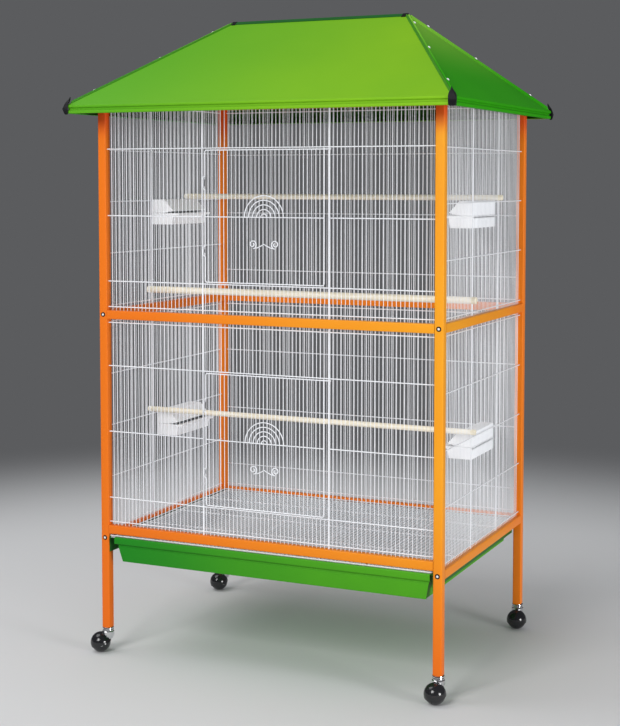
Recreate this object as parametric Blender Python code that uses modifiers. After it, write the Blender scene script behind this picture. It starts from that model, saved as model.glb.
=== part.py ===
"""Parrot cage on four ball casters: a square-tube frame with wire walls in two tiers,
two hinged doors, a hipped sheet roof, a slide-out grate and tray, perches and feeders.

Metres, +Z up, the front towards -Y. The origin is on the floor under the centre of the cage.
"""

from math import atan2, cos, hypot, pi, radians, sin

import bmesh
import bpy
from mathutils import Matrix, Vector

# Clearance between pieces that touch
GAP = 0.0003

# Square-tube frame, measured over the posts
WIDTH = 0.920
DEPTH = 0.660
TUBE = 0.022
TUBE_WALL = 0.0015
POST_FOOT = 0.065
MID_RAIL_Z = 0.870
FRONT_BOTTOM_RAIL_Z = 0.320
SIDE_BOTTOM_RAIL_Z = 0.298

# Hipped roof of folded sheet
EAVE_X = 0.5064
EAVE_Y = 0.4024
EAVE_BOTTOM_Z = 1.374
EAVE_TOP_Z = 1.394
RIDGE_HALF = 0.2414
RIDGE_Z = 1.6255
SHEET = 0.0010
HIP_BATTEN_WIDTH = 0.014
HIP_BATTEN_HEIGHT = 0.009

# Wire walls. The walls carry every second wire of the real spacing, and every cross wire.
WIRE = 0.0025
WIRE_STEP = 2
FRONT_PITCH = 0.01066
SIDE_PITCH = 0.01057
FRONT_LAST_WIRE = 39
SIDE_LAST_WIRE = 27
WALL_INSET = 0.011
BORDER = 0.003
UPRIGHT = 0.004
LAYER = WIRE + GAP
CROSS_WIRES = {
    "upper_front": (0.955, 1.120, 1.287),
    "upper_rear": (0.950, 1.115, 1.282),
    "upper_side": (1.024, 1.155, 1.285),
    "lower_front": (0.402, 0.572, 0.740),
    "lower_rear": (0.378, 0.545, 0.715),
    "lower_side": (0.450, 0.583, 0.716),
}

# Doors, which hang in front of the wall on its left upright
HINGE_X = -0.168
CLOSING_X = 0.171
DOOR_LEFT = -0.158
DOOR_RIGHT = 0.160
DOOR_BELOW_LINTEL = 0.005
DOOR_ABOVE_SILL = 0.005
DOOR_FORWARD = 0.0046
CATCH_X = 0.178
HINGE_LOOP_RADIUS = 0.0050
HINGE_LOOP_HEIGHTS = (-0.092, -0.076, 0.070, 0.094)
ARC_RADII = (0.008, 0.019, 0.030, 0.041, 0.052)
ORNAMENT_X = 0.003
CURL_OFFSET = 0.028
CURL_DROP = 0.065
CURL_RADIUS = 0.011

# Side uprights that hold the perches and stand on either side of the feeders
SIDE_UPRIGHT_FRONT_Y = -0.090
SIDE_UPRIGHT_REAR_Y = 0.115

# Sliding grate and tray
GRATE_Z = 0.3045
GRATE_HALF_X = 0.4342
GRATE_FRONT_Y = -0.3255
GRATE_REAR_Y = 0.3015
GRATE_BAR = 0.0035
GRATE_WIRE = 0.0018
GRATE_WIRE_PITCH = 0.0215
TRAY_HALF_X = 0.4315
TRAY_LIP = 0.007
TRAY_TOP_Z = 0.3020
TRAY_BOTTOM_Z = 0.2394
TRAY_FLOOR_HALF_X = 0.4200
TRAY_FRONT_Y = -0.3300
TRAY_REAR_Y = 0.3000
TRAY_SHEET = 0.0012

# Feeders: a hooded cup hung inside each side wall
FEEDER_FRONT_Y = -0.072
FEEDER_REAR_Y = 0.104
FEEDER_HEIGHT = 0.066
FEEDER_REACH = 0.078
FEEDER_WALL = 0.0022
UPPER_LEFT_FEEDER_SHIFT = -0.018

# Ball casters
BALL_RADIUS = 0.025
CASTER_TRAIL = 0.019
COLLAR_RADIUS = 0.0145
COLLAR_BOTTOM_Z = 0.0542

ROOF_GREEN = (0.22, 0.52, 0.04)
RIDGE_GREEN = (0.05, 0.32, 0.05)
TRAY_GREEN = (0.05, 0.34, 0.04)
FRAME_ORANGE = (0.83, 0.25, 0.03)
WIRE_WHITE = (0.83, 0.83, 0.85)
FEEDER_WHITE = (0.80, 0.80, 0.80)
WOOD_CREAM = (0.72, 0.60, 0.42)
RUNNER_GREEN = (0.02, 0.14, 0.02)
CASTER_BLACK = (0.02, 0.02, 0.022)
CASTER_CHROME = (0.70, 0.70, 0.72)


def clear_scene():
    for found in list(bpy.data.objects):
        bpy.data.objects.remove(found, do_unlink=True)


def new_collection(name):
    made = bpy.data.collections.new(name)
    bpy.context.scene.collection.children.link(made)
    return made


clear_scene()
PARTS = new_collection("parrot_cage")
CUTTERS = new_collection("cutters")
CUTTERS.hide_render = True


def material(name, colour, roughness, metallic):
    made = bpy.data.materials.get(name)
    if made is None:
        made = bpy.data.materials.new(name)
        made.use_nodes = True
        shader = made.node_tree.nodes["Principled BSDF"]
        shader.inputs["Base Color"].default_value = (*colour, 1.0)
        shader.inputs["Roughness"].default_value = roughness
        shader.inputs["Metallic"].default_value = metallic
    return made


def paint_of(name, colour, roughness=0.35, metallic=0.0):
    """Each piece has its own material, named after it."""
    return material(name + "_material", colour, roughness, metallic)


def add_part(name, data, paint, place=Matrix.Identity(4)):
    """Links a finished mesh or curve as one named piece of the cage."""
    part = bpy.data.objects.new(name, data)
    part.matrix_world = place
    part.data.materials.clear()
    part.data.materials.append(paint)
    PARTS.objects.link(part)
    return part


def add_tool(name, data, place=Matrix.Identity(4)):
    """Links a mesh that only joins or cuts another one."""
    tool = bpy.data.objects.new(name, data)
    tool.matrix_world = place
    tool.hide_render = True
    tool.display_type = "WIRE"
    CUTTERS.objects.link(tool)
    return tool


def boolean(part, tool, operation):
    modifier = part.modifiers.new(tool.name, "BOOLEAN")
    modifier.operation = operation
    modifier.object = tool
    modifier.solver = "EXACT"
    return modifier


def join(part, name, data, place=Matrix.Identity(4)):
    boolean(part, add_tool(part.name + "_" + name, data, place), "UNION")


def cut(part, name, data, place=Matrix.Identity(4)):
    boolean(part, add_tool(part.name + "_" + name, data, place), "DIFFERENCE")


def mesh_from(shape, name):
    mesh = bpy.data.meshes.new(name)
    shape.to_mesh(mesh)
    shape.free()
    return mesh


def boxes(name, corners):
    """One mesh that holds a box for each pair of opposite corners."""
    shape = bmesh.new()
    for low, high in corners:
        low = Vector(low)
        high = Vector(high)
        size = high - low
        made = bmesh.ops.create_cube(shape, size=1.0)
        bmesh.ops.scale(shape, vec=size, verts=made["verts"])
        bmesh.ops.translate(shape, vec=(low + high) / 2, verts=made["verts"])
    return mesh_from(shape, name)


def cylinder(name, radius, bottom, top, sides=16, top_radius=None):
    shape = bmesh.new()
    bmesh.ops.create_cone(
        shape,
        cap_ends=True,
        segments=sides,
        radius1=radius,
        radius2=radius if top_radius is None else top_radius,
        depth=top - bottom,
        matrix=Matrix.Translation((0, 0, (top + bottom) / 2)),
    )
    return mesh_from(shape, name)


def ball(name, radius, sides, rings):
    shape = bmesh.new()
    bmesh.ops.create_uvsphere(shape, u_segments=sides, v_segments=rings, radius=radius)
    return mesh_from(shape, name)


def welded_mesh(curve, name):
    """The closed mesh of a curve, with its caps welded on."""
    holder = bpy.data.objects.new(name, curve)
    bpy.context.scene.collection.objects.link(holder)
    graph = bpy.context.evaluated_depsgraph_get()
    mesh = bpy.data.meshes.new_from_object(holder.evaluated_get(graph))
    bpy.data.objects.remove(holder, do_unlink=True)
    bpy.data.curves.remove(curve)
    shape = bmesh.new()
    shape.from_mesh(mesh)
    bmesh.ops.remove_doubles(shape, verts=shape.verts, dist=1e-6)
    shape.to_mesh(mesh)
    shape.free()
    mesh.name = name
    return mesh


def wires(name, routes, radius, resolution=0):
    """Straight or bent wires, each given as its list of points."""
    curve = bpy.data.curves.new(name, "CURVE")
    curve.dimensions = "3D"
    curve.bevel_depth = radius
    curve.bevel_resolution = resolution
    curve.use_fill_caps = True
    for route in routes:
        spline = curve.splines.new("POLY")
        spline.points.add(len(route) - 1)
        for point, place in zip(spline.points, route):
            point.co = (*place, 1.0)
    return welded_mesh(curve, name)


def plate(name, outlines, half_thickness):
    """A flat plate: the first outline is its edge and the others are its holes."""
    curve = bpy.data.curves.new(name, "CURVE")
    curve.dimensions = "2D"
    curve.fill_mode = "BOTH"
    curve.extrude = half_thickness
    for outline in outlines:
        spline = curve.splines.new("POLY")
        spline.use_cyclic_u = True
        spline.points.add(len(outline) - 1)
        for point, (across, up) in zip(spline.points, outline):
            point.co = (across, up, 0.0, 1.0)
    return welded_mesh(curve, name)


def rectangle(left, bottom, right, top):
    return [(left, bottom), (right, bottom), (right, top), (left, top)]


def wall_place(wall):
    """Turns local X along the wall, local Y up and local Z outwards."""
    turns = {"front": 0, "right": 90, "rear": 180, "left": -90}
    reach = DEPTH / 2 if wall in ("front", "rear") else WIDTH / 2
    stand = Matrix.Rotation(pi / 2, 4, "X")
    turn = Matrix.Rotation(radians(turns[wall]), 4, "Z")
    return turn @ Matrix.Translation((0, -(reach - WALL_INSET), 0)) @ stand


def axis_turn(axis):
    """Turns local Z onto world X, Y or Z."""
    if axis == "X":
        return Matrix.Rotation(pi / 2, 4, "Y")
    if axis == "Y":
        return Matrix.Rotation(-pi / 2, 4, "X")
    return Matrix.Identity(4)


# Frame

HALF_TUBE = TUBE / 2
POST_X = WIDTH / 2 - HALF_TUBE
POST_Y = DEPTH / 2 - HALF_TUBE
SIDE_SLOPE = (RIDGE_Z - EAVE_TOP_Z) / (EAVE_X - RIDGE_HALF)
FRONT_SLOPE = (RIDGE_Z - EAVE_TOP_Z) / EAVE_Y
ROOF_OVER_POST = EAVE_TOP_Z + SIDE_SLOPE * (EAVE_X - WIDTH / 2)
POST_TOP = ROOF_OVER_POST - SHEET * hypot(1.0, SIDE_SLOPE) - 2 * GAP
TOP_RAIL_Z = POST_TOP - HALF_TUBE


def square_tube(name, centre, axis, length):
    inner = HALF_TUBE - TUBE_WALL
    outer = HALF_TUBE
    section = plate(
        name,
        [rectangle(-outer, -outer, outer, outer), rectangle(-inner, -inner, inner, inner)],
        length / 2,
    )
    place = Matrix.Translation(centre) @ axis_turn(axis)
    return add_part(name, section, paint_of(name, FRAME_ORANGE), place)


def build_frame():
    for side_x, x_name in ((-1, "left"), (1, "right")):
        for side_y, y_name in ((-1, "front"), (1, "rear")):
            centre = (side_x * POST_X, side_y * POST_Y, (POST_FOOT + POST_TOP) / 2)
            square_tube(f"post_{y_name}_{x_name}", centre, "Z", POST_TOP - POST_FOOT)

    across = WIDTH - 2 * TUBE - 2 * GAP
    along = DEPTH - 2 * TUBE - 2 * GAP
    for level, front_z, other_z in (
        ("top", TOP_RAIL_Z, TOP_RAIL_Z),
        ("mid", MID_RAIL_Z, MID_RAIL_Z),
        ("bottom", FRONT_BOTTOM_RAIL_Z, SIDE_BOTTOM_RAIL_Z),
    ):
        square_tube(f"rail_front_{level}", (0, -POST_Y, front_z), "X", across)
        square_tube(f"rail_rear_{level}", (0, POST_Y, other_z), "X", across)
        square_tube(f"rail_left_{level}", (-POST_X, 0, other_z), "Y", along)
        square_tube(f"rail_right_{level}", (POST_X, 0, other_z), "Y", along)


# Wire walls, drawn upright in local X and Y with local Z outwards

LAYERS_FRONT = 0.0016
LAYERS_BACK = -LAYER - 0.0016


def border(name, left, bottom, right, top, width=BORDER):
    edge = rectangle(left, bottom, right, top)
    hole = rectangle(left + width, bottom + width, right - width, top - width)
    return plate(name, [edge, hole], (LAYERS_FRONT - LAYERS_BACK) / 2)


def wire_places(pitch, last):
    return [step * pitch for step in range(-last, last + 1, WIRE_STEP)]


def wall_panel(name, wall, bottom, top, levels, uprights=(), doorway=None):
    place = wall_place(wall)
    long_wall = wall in ("front", "rear")
    half = (WIDTH if long_wall else DEPTH) / 2 - TUBE - GAP
    pitch = FRONT_PITCH if long_wall else SIDE_PITCH
    last = FRONT_LAST_WIRE if long_wall else SIDE_LAST_WIRE
    bottom = bottom + GAP
    top = top - GAP
    middle = Matrix.Translation((0, 0, (LAYERS_FRONT + LAYERS_BACK) / 2))
    edge = border(name, -half, bottom, half, top)
    edge.transform(middle)
    panel = add_part(name, edge, paint_of(name, WIRE_WHITE), place)
    hold = BORDER / 2

    if uprights:
        bars = [
            ((x - UPRIGHT / 2, bottom + hold, LAYERS_BACK + 0.0002),
             (x + UPRIGHT / 2, top - hold, LAYERS_FRONT - 0.0002))
            for x in uprights
        ]
        join(panel, "uprights", boxes(name + "_uprights", bars), place)

    cross = []
    for level in levels:
        stops = [-half + hold, half - hold]
        if doorway:
            stops = [-half + hold, doorway[0] - 0.0007, doorway[1] + 0.0007, half - hold]
        for start, end in zip(stops[::2], stops[1::2]):
            cross.append([(start, level, -LAYER), (end, level, -LAYER)])
    join(panel, "cross_wires", wires(name + "_cross_wires", cross, WIRE / 2), place)

    spans = {x: [(bottom + hold, top - hold)] for x in wire_places(pitch, last)}
    if doorway:
        left, right, sill, lintel = doorway
        bars = [
            ((left, level - UPRIGHT / 2, LAYERS_BACK + 0.0003),
             (right, level + UPRIGHT / 2, LAYERS_FRONT - 0.0003))
            for level in (sill, lintel)
        ]
        join(panel, "doorway", boxes(name + "_doorway", bars), place)
        for x in spans:
            if left < x < right:
                spans[x] = [(bottom + hold, sill), (lintel, top - hold)]
    upright_wires = [
        [(x, low, 0), (x, high, 0)] for x, both in spans.items() for low, high in both
    ]
    join(panel, "wires", wires(name + "_wires", upright_wires, WIRE / 2), place)
    return panel


def build_walls():
    upper = (MID_RAIL_Z + HALF_TUBE, TOP_RAIL_Z - HALF_TUBE)
    lower_front = (FRONT_BOTTOM_RAIL_Z + HALF_TUBE, MID_RAIL_Z - HALF_TUBE)
    lower_other = (SIDE_BOTTOM_RAIL_Z + HALF_TUBE, MID_RAIL_Z - HALF_TUBE)
    for tier, front, other in (("upper", upper, upper), ("lower", lower_front, lower_other)):
        levels = CROSS_WIRES[tier + "_front"]
        doorway = (HINGE_X, CLOSING_X, levels[0], levels[2])
        wall_panel(f"panel_{tier}_front", "front", *front, levels, doorway[:2], doorway)
        wall_panel(f"panel_{tier}_rear", "rear", *other, CROSS_WIRES[tier + "_rear"])
        side_levels = CROSS_WIRES[tier + "_side"]
        side_uprights = (SIDE_UPRIGHT_FRONT_Y, SIDE_UPRIGHT_REAR_Y)
        wall_panel(f"panel_{tier}_right", "right", *other, side_levels, side_uprights)
        mirrored = tuple(-y for y in side_uprights)
        wall_panel(f"panel_{tier}_left", "left", *other, side_levels, mirrored)


# Doors, drawn in the front wall's local axes but measured from the hinge upright

HINGE_DEPTH = (LAYERS_FRONT + LAYERS_BACK) / 2


def arc(centre_x, centre_y, radius, first, last, steps, depth):
    points = []
    for step in range(steps + 1):
        angle = first + (last - first) * step / steps
        points.append((centre_x + radius * cos(angle), centre_y + radius * sin(angle), depth))
    return points


def curl(centre_x, centre_y, direction, depth):
    """A spiral that starts at its heart and comes out at the bottom, towards the middle."""
    points = []
    steps = 9
    turn = 1.3 * 2 * pi
    for step in range(steps + 1):
        along = step / steps
        angle = -pi / 2 - direction * turn * (1 - along)
        radius = CURL_RADIUS * (0.28 + 0.72 * along)
        points.append((centre_x + radius * cos(angle), centre_y + radius * sin(angle), depth))
    return points


def hinge_loop(level):
    """A wire from the door's edge round the back of the wall's upright."""
    points = [(DOOR_LEFT - HINGE_X, level, DOOR_FORWARD - HINGE_DEPTH + 0.0006)]
    first = radians(70)
    last = radians(305)
    steps = 6
    for step in range(steps + 1):
        angle = first + (last - first) * step / steps
        points.append((HINGE_LOOP_RADIUS * cos(angle), level, HINGE_LOOP_RADIUS * sin(angle)))
    return points


def build_door(tier):
    name = f"door_{tier}"
    sill, middle, lintel = CROSS_WIRES[tier + "_front"]
    left = DOOR_LEFT - HINGE_X
    right = DOOR_RIGHT - HINGE_X
    bottom = sill + DOOR_ABOVE_SILL
    top = lintel - DOOR_BELOW_LINTEL
    back = DOOR_FORWARD - HINGE_DEPTH
    front = back + LAYER
    depth = (back + front) / 2
    hold = BORDER / 2

    place = wall_place("front") @ Matrix.Translation((HINGE_X, 0, HINGE_DEPTH))
    edge = border(name, left - hold, bottom - hold, right + hold, top + hold)
    edge.transform(Matrix.Translation((0, 0, depth)))
    door = add_part(name, edge, paint_of(name, WIRE_WHITE), place)

    catch = [[(right, top, front), (CATCH_X - HINGE_X, top, front)]]
    join(door, "catch", wires(name + "_catch", catch, WIRE / 2), place)
    loops = [hinge_loop(middle + height) for height in HINGE_LOOP_HEIGHTS]
    join(door, "hinge_loops", wires(name + "_hinge_loops", loops, 0.0010), place)
    rail = [[(left, middle, front), (right, middle, front)]]
    join(door, "middle", wires(name + "_middle", rail, WIRE / 2), place)

    centre = ORNAMENT_X - HINGE_X
    arcs = [
        arc(centre, middle, radius, pi, 0, 5 + index, front)
        for index, radius in enumerate(ARC_RADII)
    ]
    join(door, "arcs", wires(name + "_arcs", arcs, 0.0010), place)

    upright_wires = [
        [(x - HINGE_X, bottom, back), (x - HINGE_X, top, back)]
        for x in wire_places(FRONT_PITCH, FRONT_LAST_WIRE)
        if DOOR_LEFT < x < DOOR_RIGHT - 0.005
    ]
    join(door, "wires", wires(name + "_wires", upright_wires, WIRE / 2), place)

    welded = back + WIRE * 0.72
    low = middle - CURL_DROP
    scroll = curl(centre - CURL_OFFSET, low, 1, welded)
    scroll.append((centre, low - 0.003, welded))
    scroll.extend(reversed(curl(centre + CURL_OFFSET, low, -1, welded)))
    join(door, "scroll", wires(name + "_scroll", [scroll], 0.0010), place)
    return door


# Roof

def hip_line(side_x, side_y):
    """The lower end and the upper end of one hip."""
    low = Vector((side_x * EAVE_X, side_y * EAVE_Y, EAVE_TOP_Z))
    high = Vector((side_x * RIDGE_HALF, 0, RIDGE_Z))
    return low, high


def half_space(name, point, direction):
    """A large box whose one face passes through the point, square to the direction."""
    size = 1.6
    turn = Vector((1, 0, 0)).rotation_difference(direction.normalized()).to_matrix().to_4x4()
    mesh = boxes(name, [((0, -size, -size), (size, size, size))])
    mesh.transform(Matrix.Translation(point) @ turn)
    return mesh


def folded_sheet(name, profile, length, place):
    """A profile swept along local X and given the sheet's thickness on its inner side."""
    shape = bmesh.new()
    points = [shape.verts.new((-length / 2, out, up)) for out, up in profile]
    edges = [shape.edges.new(pair) for pair in zip(points, points[1:])]
    swept = bmesh.ops.extrude_edge_only(shape, edges=edges)["geom"]
    far = [item for item in swept if isinstance(item, bmesh.types.BMVert)]
    bmesh.ops.translate(shape, vec=(length, 0, 0), verts=far)
    part = add_part(name, mesh_from(shape, name), paint_of(name, ROOF_GREEN), place)
    sheet = part.modifiers.new("sheet", "SOLIDIFY")
    sheet.thickness = SHEET
    sheet.offset = -1.0
    sheet.use_even_offset = True
    return part


def roof_profile(reach, top_out):
    """From the lip under the eave, up the grooved fascia and up the slope to the ridge."""
    slope_top = RIDGE_Z - (RIDGE_Z - EAVE_TOP_Z) * top_out / reach
    return [
        (-(reach - 0.012), EAVE_BOTTOM_Z),
        (-reach, EAVE_BOTTOM_Z),
        (-reach, EAVE_BOTTOM_Z + 0.0085),
        (-(reach - 0.003), EAVE_BOTTOM_Z + 0.0100),
        (-(reach - 0.003), EAVE_BOTTOM_Z + 0.0120),
        (-reach, EAVE_BOTTOM_Z + 0.0135),
        (-reach, EAVE_TOP_Z),
        (-top_out, slope_top),
    ]


def hip_batten(name, side_x, side_y):
    """A raised band that lies on a side slope along its hip."""
    low, high = hip_line(side_x, side_y)
    along = (high - low).normalized()
    out = Vector((side_x * SIDE_SLOPE, 0, 1)).normalized()
    across = out.cross(along)
    length = (high - low).length
    inward = -1 if across.y * side_y > 0 else 1
    near, far = sorted((inward * 0.0008, inward * (HIP_BATTEN_WIDTH + 0.0008)))
    turn = Matrix((along, across, out)).transposed().to_4x4()
    corners = ((0.030, near, -SHEET / 2), (length - 0.034, far, HIP_BATTEN_HEIGHT))
    mesh = boxes(name, [corners])
    mesh.transform(Matrix.Translation(low) @ turn)
    return mesh


def build_roof():
    sides = {"front": (0, -1), "rear": (0, 1), "left": (-1, 0), "right": (1, 0)}
    for wall, (side_x, side_y) in sides.items():
        turn = atan2(side_x, -side_y)
        place = Matrix.Rotation(turn, 4, "Z")
        if side_x:
            run = EAVE_X - RIDGE_HALF
            profile = roof_profile(run, 0.0012)
            profile = [(out - RIDGE_HALF, up) for out, up in profile]
            part = folded_sheet(f"roof_{wall}", profile, 2 * EAVE_Y + 0.02, place)
            for hip_y in (-1, 1):
                batten = hip_batten(f"batten_{wall}_{hip_y}", side_x, hip_y)
                join(part, f"batten_{hip_y}", batten)
            corners = [(side_x, -1), (side_x, 1)]
        else:
            profile = roof_profile(EAVE_Y, 0.0012)
            part = folded_sheet(f"roof_{wall}", profile, 2 * EAVE_X + 0.02, place)
            corners = [(-1, side_y), (1, side_y)]
        for corner in corners:
            low, high = hip_line(*corner)
            flat = Vector((high.x - low.x, high.y - low.y, 0)).normalized()
            away = Vector((-flat.y, flat.x, 0))
            own = Vector((side_x, side_y, 0))
            if away.dot(own) > 0:
                away = -away
            mitre = half_space(f"mitre_{wall}", low - away * GAP / 2, away)
            cut(part, f"mitre_{corner[0]}_{corner[1]}", mitre)


def build_ridge_cap():
    """A folded strip over the top edges of the long slopes."""
    slope = FRONT_SLOPE
    lift = 0.0004 * hypot(1.0, slope)
    wing = 0.018
    fold = RIDGE_Z + lift
    bottom = [(-wing, fold - slope * wing), (0, fold), (wing, fold - slope * wing)]
    top = [(out, up + SHEET * hypot(1.0, slope)) for out, up in reversed(bottom)]
    mesh = plate("ridge_cap", [bottom + top], RIDGE_HALF - 0.002)
    place = Matrix.Rotation(pi / 2, 4, "Z") @ Matrix.Rotation(pi / 2, 4, "X")
    add_part("ridge_cap", mesh, paint_of("ridge_cap", RIDGE_GREEN), place)


def build_corner_caps():
    """A wedge of black plastic round each corner of the eave."""
    arm = 0.020
    wall = 0.0032
    tip = 0.0060
    for side_x, x_name in ((-1, "left"), (1, "right")):
        for side_y, y_name in ((-1, "front"), (1, "rear")):
            inner = [(-arm, GAP), (GAP, GAP), (GAP, -arm)]
            outer = [(wall * 0.7, -arm), (tip, tip), (-arm, wall * 0.7)]
            corner = [(EAVE_X + x, EAVE_Y + y) for x, y in inner + outer]
            outline = [(side_x * x, side_y * y) for x, y in corner]
            name = f"corner_cap_{y_name}_{x_name}"
            mesh = plate(name, [outline], (EAVE_TOP_Z - EAVE_BOTTOM_Z) / 2 + 0.003)
            place = Matrix.Translation((0, 0, (EAVE_TOP_Z + EAVE_BOTTOM_Z) / 2))
            add_part(name, mesh, paint_of(name, CASTER_BLACK, 0.4), place)


# Grate, tray and runners

def build_grate():
    half_bar = GRATE_BAR / 2
    outer_x = GRATE_HALF_X + half_bar
    inner_x = GRATE_HALF_X - half_bar
    edge = rectangle(-outer_x, GRATE_FRONT_Y - half_bar, outer_x, GRATE_REAR_Y + half_bar)
    hole = rectangle(-inner_x, GRATE_FRONT_Y + half_bar, inner_x, GRATE_REAR_Y - half_bar)
    place = Matrix.Translation((0, 0, GRATE_Z))
    mesh = plate("grate", [edge, hole], half_bar)
    grate = add_part("grate", mesh, paint_of("grate", WIRE_WHITE), place)
    upper = 0.0014
    lower = upper - GRATE_WIRE - GAP
    cross = [
        [(-GRATE_HALF_X, y, lower), (GRATE_HALF_X, y, lower)] for y in (-0.160, 0.0, 0.170)
    ]
    join(grate, "cross_wires", wires("grate_cross_wires", cross, GRATE_WIRE / 2), place)
    count = int((GRATE_HALF_X - GRATE_BAR) / GRATE_WIRE_PITCH)
    places = [step * GRATE_WIRE_PITCH for step in range(-count, count + 1)]
    along = [[(x, GRATE_FRONT_Y, upper), (x, GRATE_REAR_Y, upper)] for x in places]
    join(grate, "wires", wires("grate_wires", along, GRATE_WIRE / 2), place)


def build_tray():
    """A pan with leaning sides and a lip turned outwards, folded from sheet."""
    lip_x = TRAY_HALF_X
    wall_x = TRAY_HALF_X - TRAY_LIP
    front_wall = TRAY_FRONT_Y + TRAY_LIP
    rear_wall = TRAY_REAR_Y - TRAY_LIP
    levels = [
        (TRAY_FLOOR_HALF_X, front_wall + 0.004, rear_wall - 0.004, TRAY_BOTTOM_Z + TRAY_SHEET),
        (wall_x, front_wall, rear_wall, TRAY_TOP_Z),
        (lip_x, TRAY_FRONT_Y, TRAY_REAR_Y, TRAY_TOP_Z),
    ]
    shape = bmesh.new()
    rings = []
    for half, front, rear, up in levels:
        corners = [(-half, front), (half, front), (half, rear), (-half, rear)]
        rings.append([shape.verts.new((x, y, up)) for x, y in corners])
    floor = shape.faces.new(rings[0])
    for inner, outer in zip(rings, rings[1:]):
        for index in range(4):
            after = (index + 1) % 4
            shape.faces.new((outer[index], outer[after], inner[after], inner[index]))
    bmesh.ops.recalc_face_normals(shape, faces=shape.faces)
    shape.normal_update()
    if floor.normal.z < 0:
        bmesh.ops.reverse_faces(shape, faces=shape.faces)
    tray = add_part("tray", mesh_from(shape, "tray"), paint_of("tray", TRAY_GREEN))
    sheet = tray.modifiers.new("sheet", "SOLIDIFY")
    sheet.thickness = TRAY_SHEET
    sheet.offset = -1.0
    sheet.use_even_offset = True


def build_runners():
    """A stepped strip inside each side rail: the tray's lip lies on it, and the grate beside it."""
    web = POST_X - HALF_TUBE - GAP
    length = 0.625
    for side_x, x_name in ((-1, "left"), (1, "right")):
        outline = [
            (web, 0.2620),
            (web, 0.3024),
            (web - 0.0055, 0.3024),
            (web - 0.0055, 0.2990),
            (web - 0.0108, 0.2990),
            (web - 0.0108, 0.2975),
            (web - 0.0015, 0.2975),
            (web - 0.0015, 0.2620),
        ]
        outline = [(side_x * across, up) for across, up in outline]
        name = f"runner_{x_name}"
        place = Matrix.Translation((0, -0.014, 0)) @ Matrix.Rotation(pi / 2, 4, "X")
        strip = plate(name, [outline], length / 2)
        add_part(name, strip, paint_of(name, RUNNER_GREEN), place)


# Perches and feeders

def build_perches():
    """Dowels whose slotted ends straddle the side walls' uprights."""
    end = WIDTH / 2 - WALL_INSET - 0.0022
    slot = 0.0045
    for name, y, z, radius in (
        ("perch_upper_rear", SIDE_UPRIGHT_REAR_Y, 1.165, 0.0073),
        ("perch_upper_front", SIDE_UPRIGHT_FRONT_Y, 0.918, 0.0088),
        ("perch_lower", SIDE_UPRIGHT_FRONT_Y, 0.596, 0.0070),
    ):
        place = Matrix.Translation((0, y, z)) @ axis_turn("X")
        dowel = cylinder(name, radius, -end, end, 14)
        perch = add_part(name, dowel, paint_of(name, WOOD_CREAM, 0.6), place)
        perch.data.shade_smooth()
        perch.data.set_sharp_from_angle(angle=radians(40))
        half_slot = UPRIGHT / 2 + GAP
        cuts = []
        for side in (-1, 1):
            inner, outer = sorted((side * (end - slot), side * (end + 0.004)))
            cuts.append(((inner, y - half_slot, z - 0.02), (outer, y + half_slot, z + 0.02)))
        cut(perch, "slots", boxes(name + "_slots", cuts))


def build_feeders():
    """A cup with a sloping hood, open between the hood's lower edge and the trough's rim."""
    wall_face = WIDTH / 2 - WALL_INSET - LAYER - WIRE / 2 - 2 * GAP
    reach = FEEDER_REACH
    height = FEEDER_HEIGHT
    thick = FEEDER_WALL
    body = [
        (0, 0),
        (reach - 0.006, 0),
        (reach, 0.030),
        (reach - 0.020, 0.040),
        (reach - 0.042, height),
        (0, height),
    ]
    hollow = [
        (thick, thick),
        (reach - 0.006 - thick, thick),
        (reach - thick, 0.0315),
        (reach + 0.010, 0.0500),
        (reach - 0.010, 0.0600),
        (reach - 0.0215, 0.0386),
        (reach - 0.0430 - thick / 2, height - thick),
        (thick, height - thick),
    ]
    middle_y = (FEEDER_FRONT_Y + FEEDER_REAR_Y) / 2
    half_width = (FEEDER_REAR_Y - FEEDER_FRONT_Y) / 2
    for tier, top in (("upper", 1.158), ("lower", 0.590)):
        for side_x, x_name in ((-1, "left"), (1, "right")):
            name = f"feeder_{tier}_{x_name}"
            upper_left = (tier, x_name) == ("upper", "left")
            shift = UPPER_LEFT_FEEDER_SHIFT if upper_left else 0.0

            def turned(outline):
                return [(-side_x * across, up) for across, up in outline]

            corner = Matrix.Translation((side_x * wall_face, middle_y + shift, top - height))
            place = corner @ Matrix.Rotation(pi / 2, 4, "X")
            cup = plate(name, [turned(body)], half_width)
            feeder = add_part(name, cup, paint_of(name, FEEDER_WHITE, 0.3), place)
            inside = plate(name + "_hollow", [turned(hollow)], half_width - thick)
            cut(feeder, "hollow", inside, place)


# Casters

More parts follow.
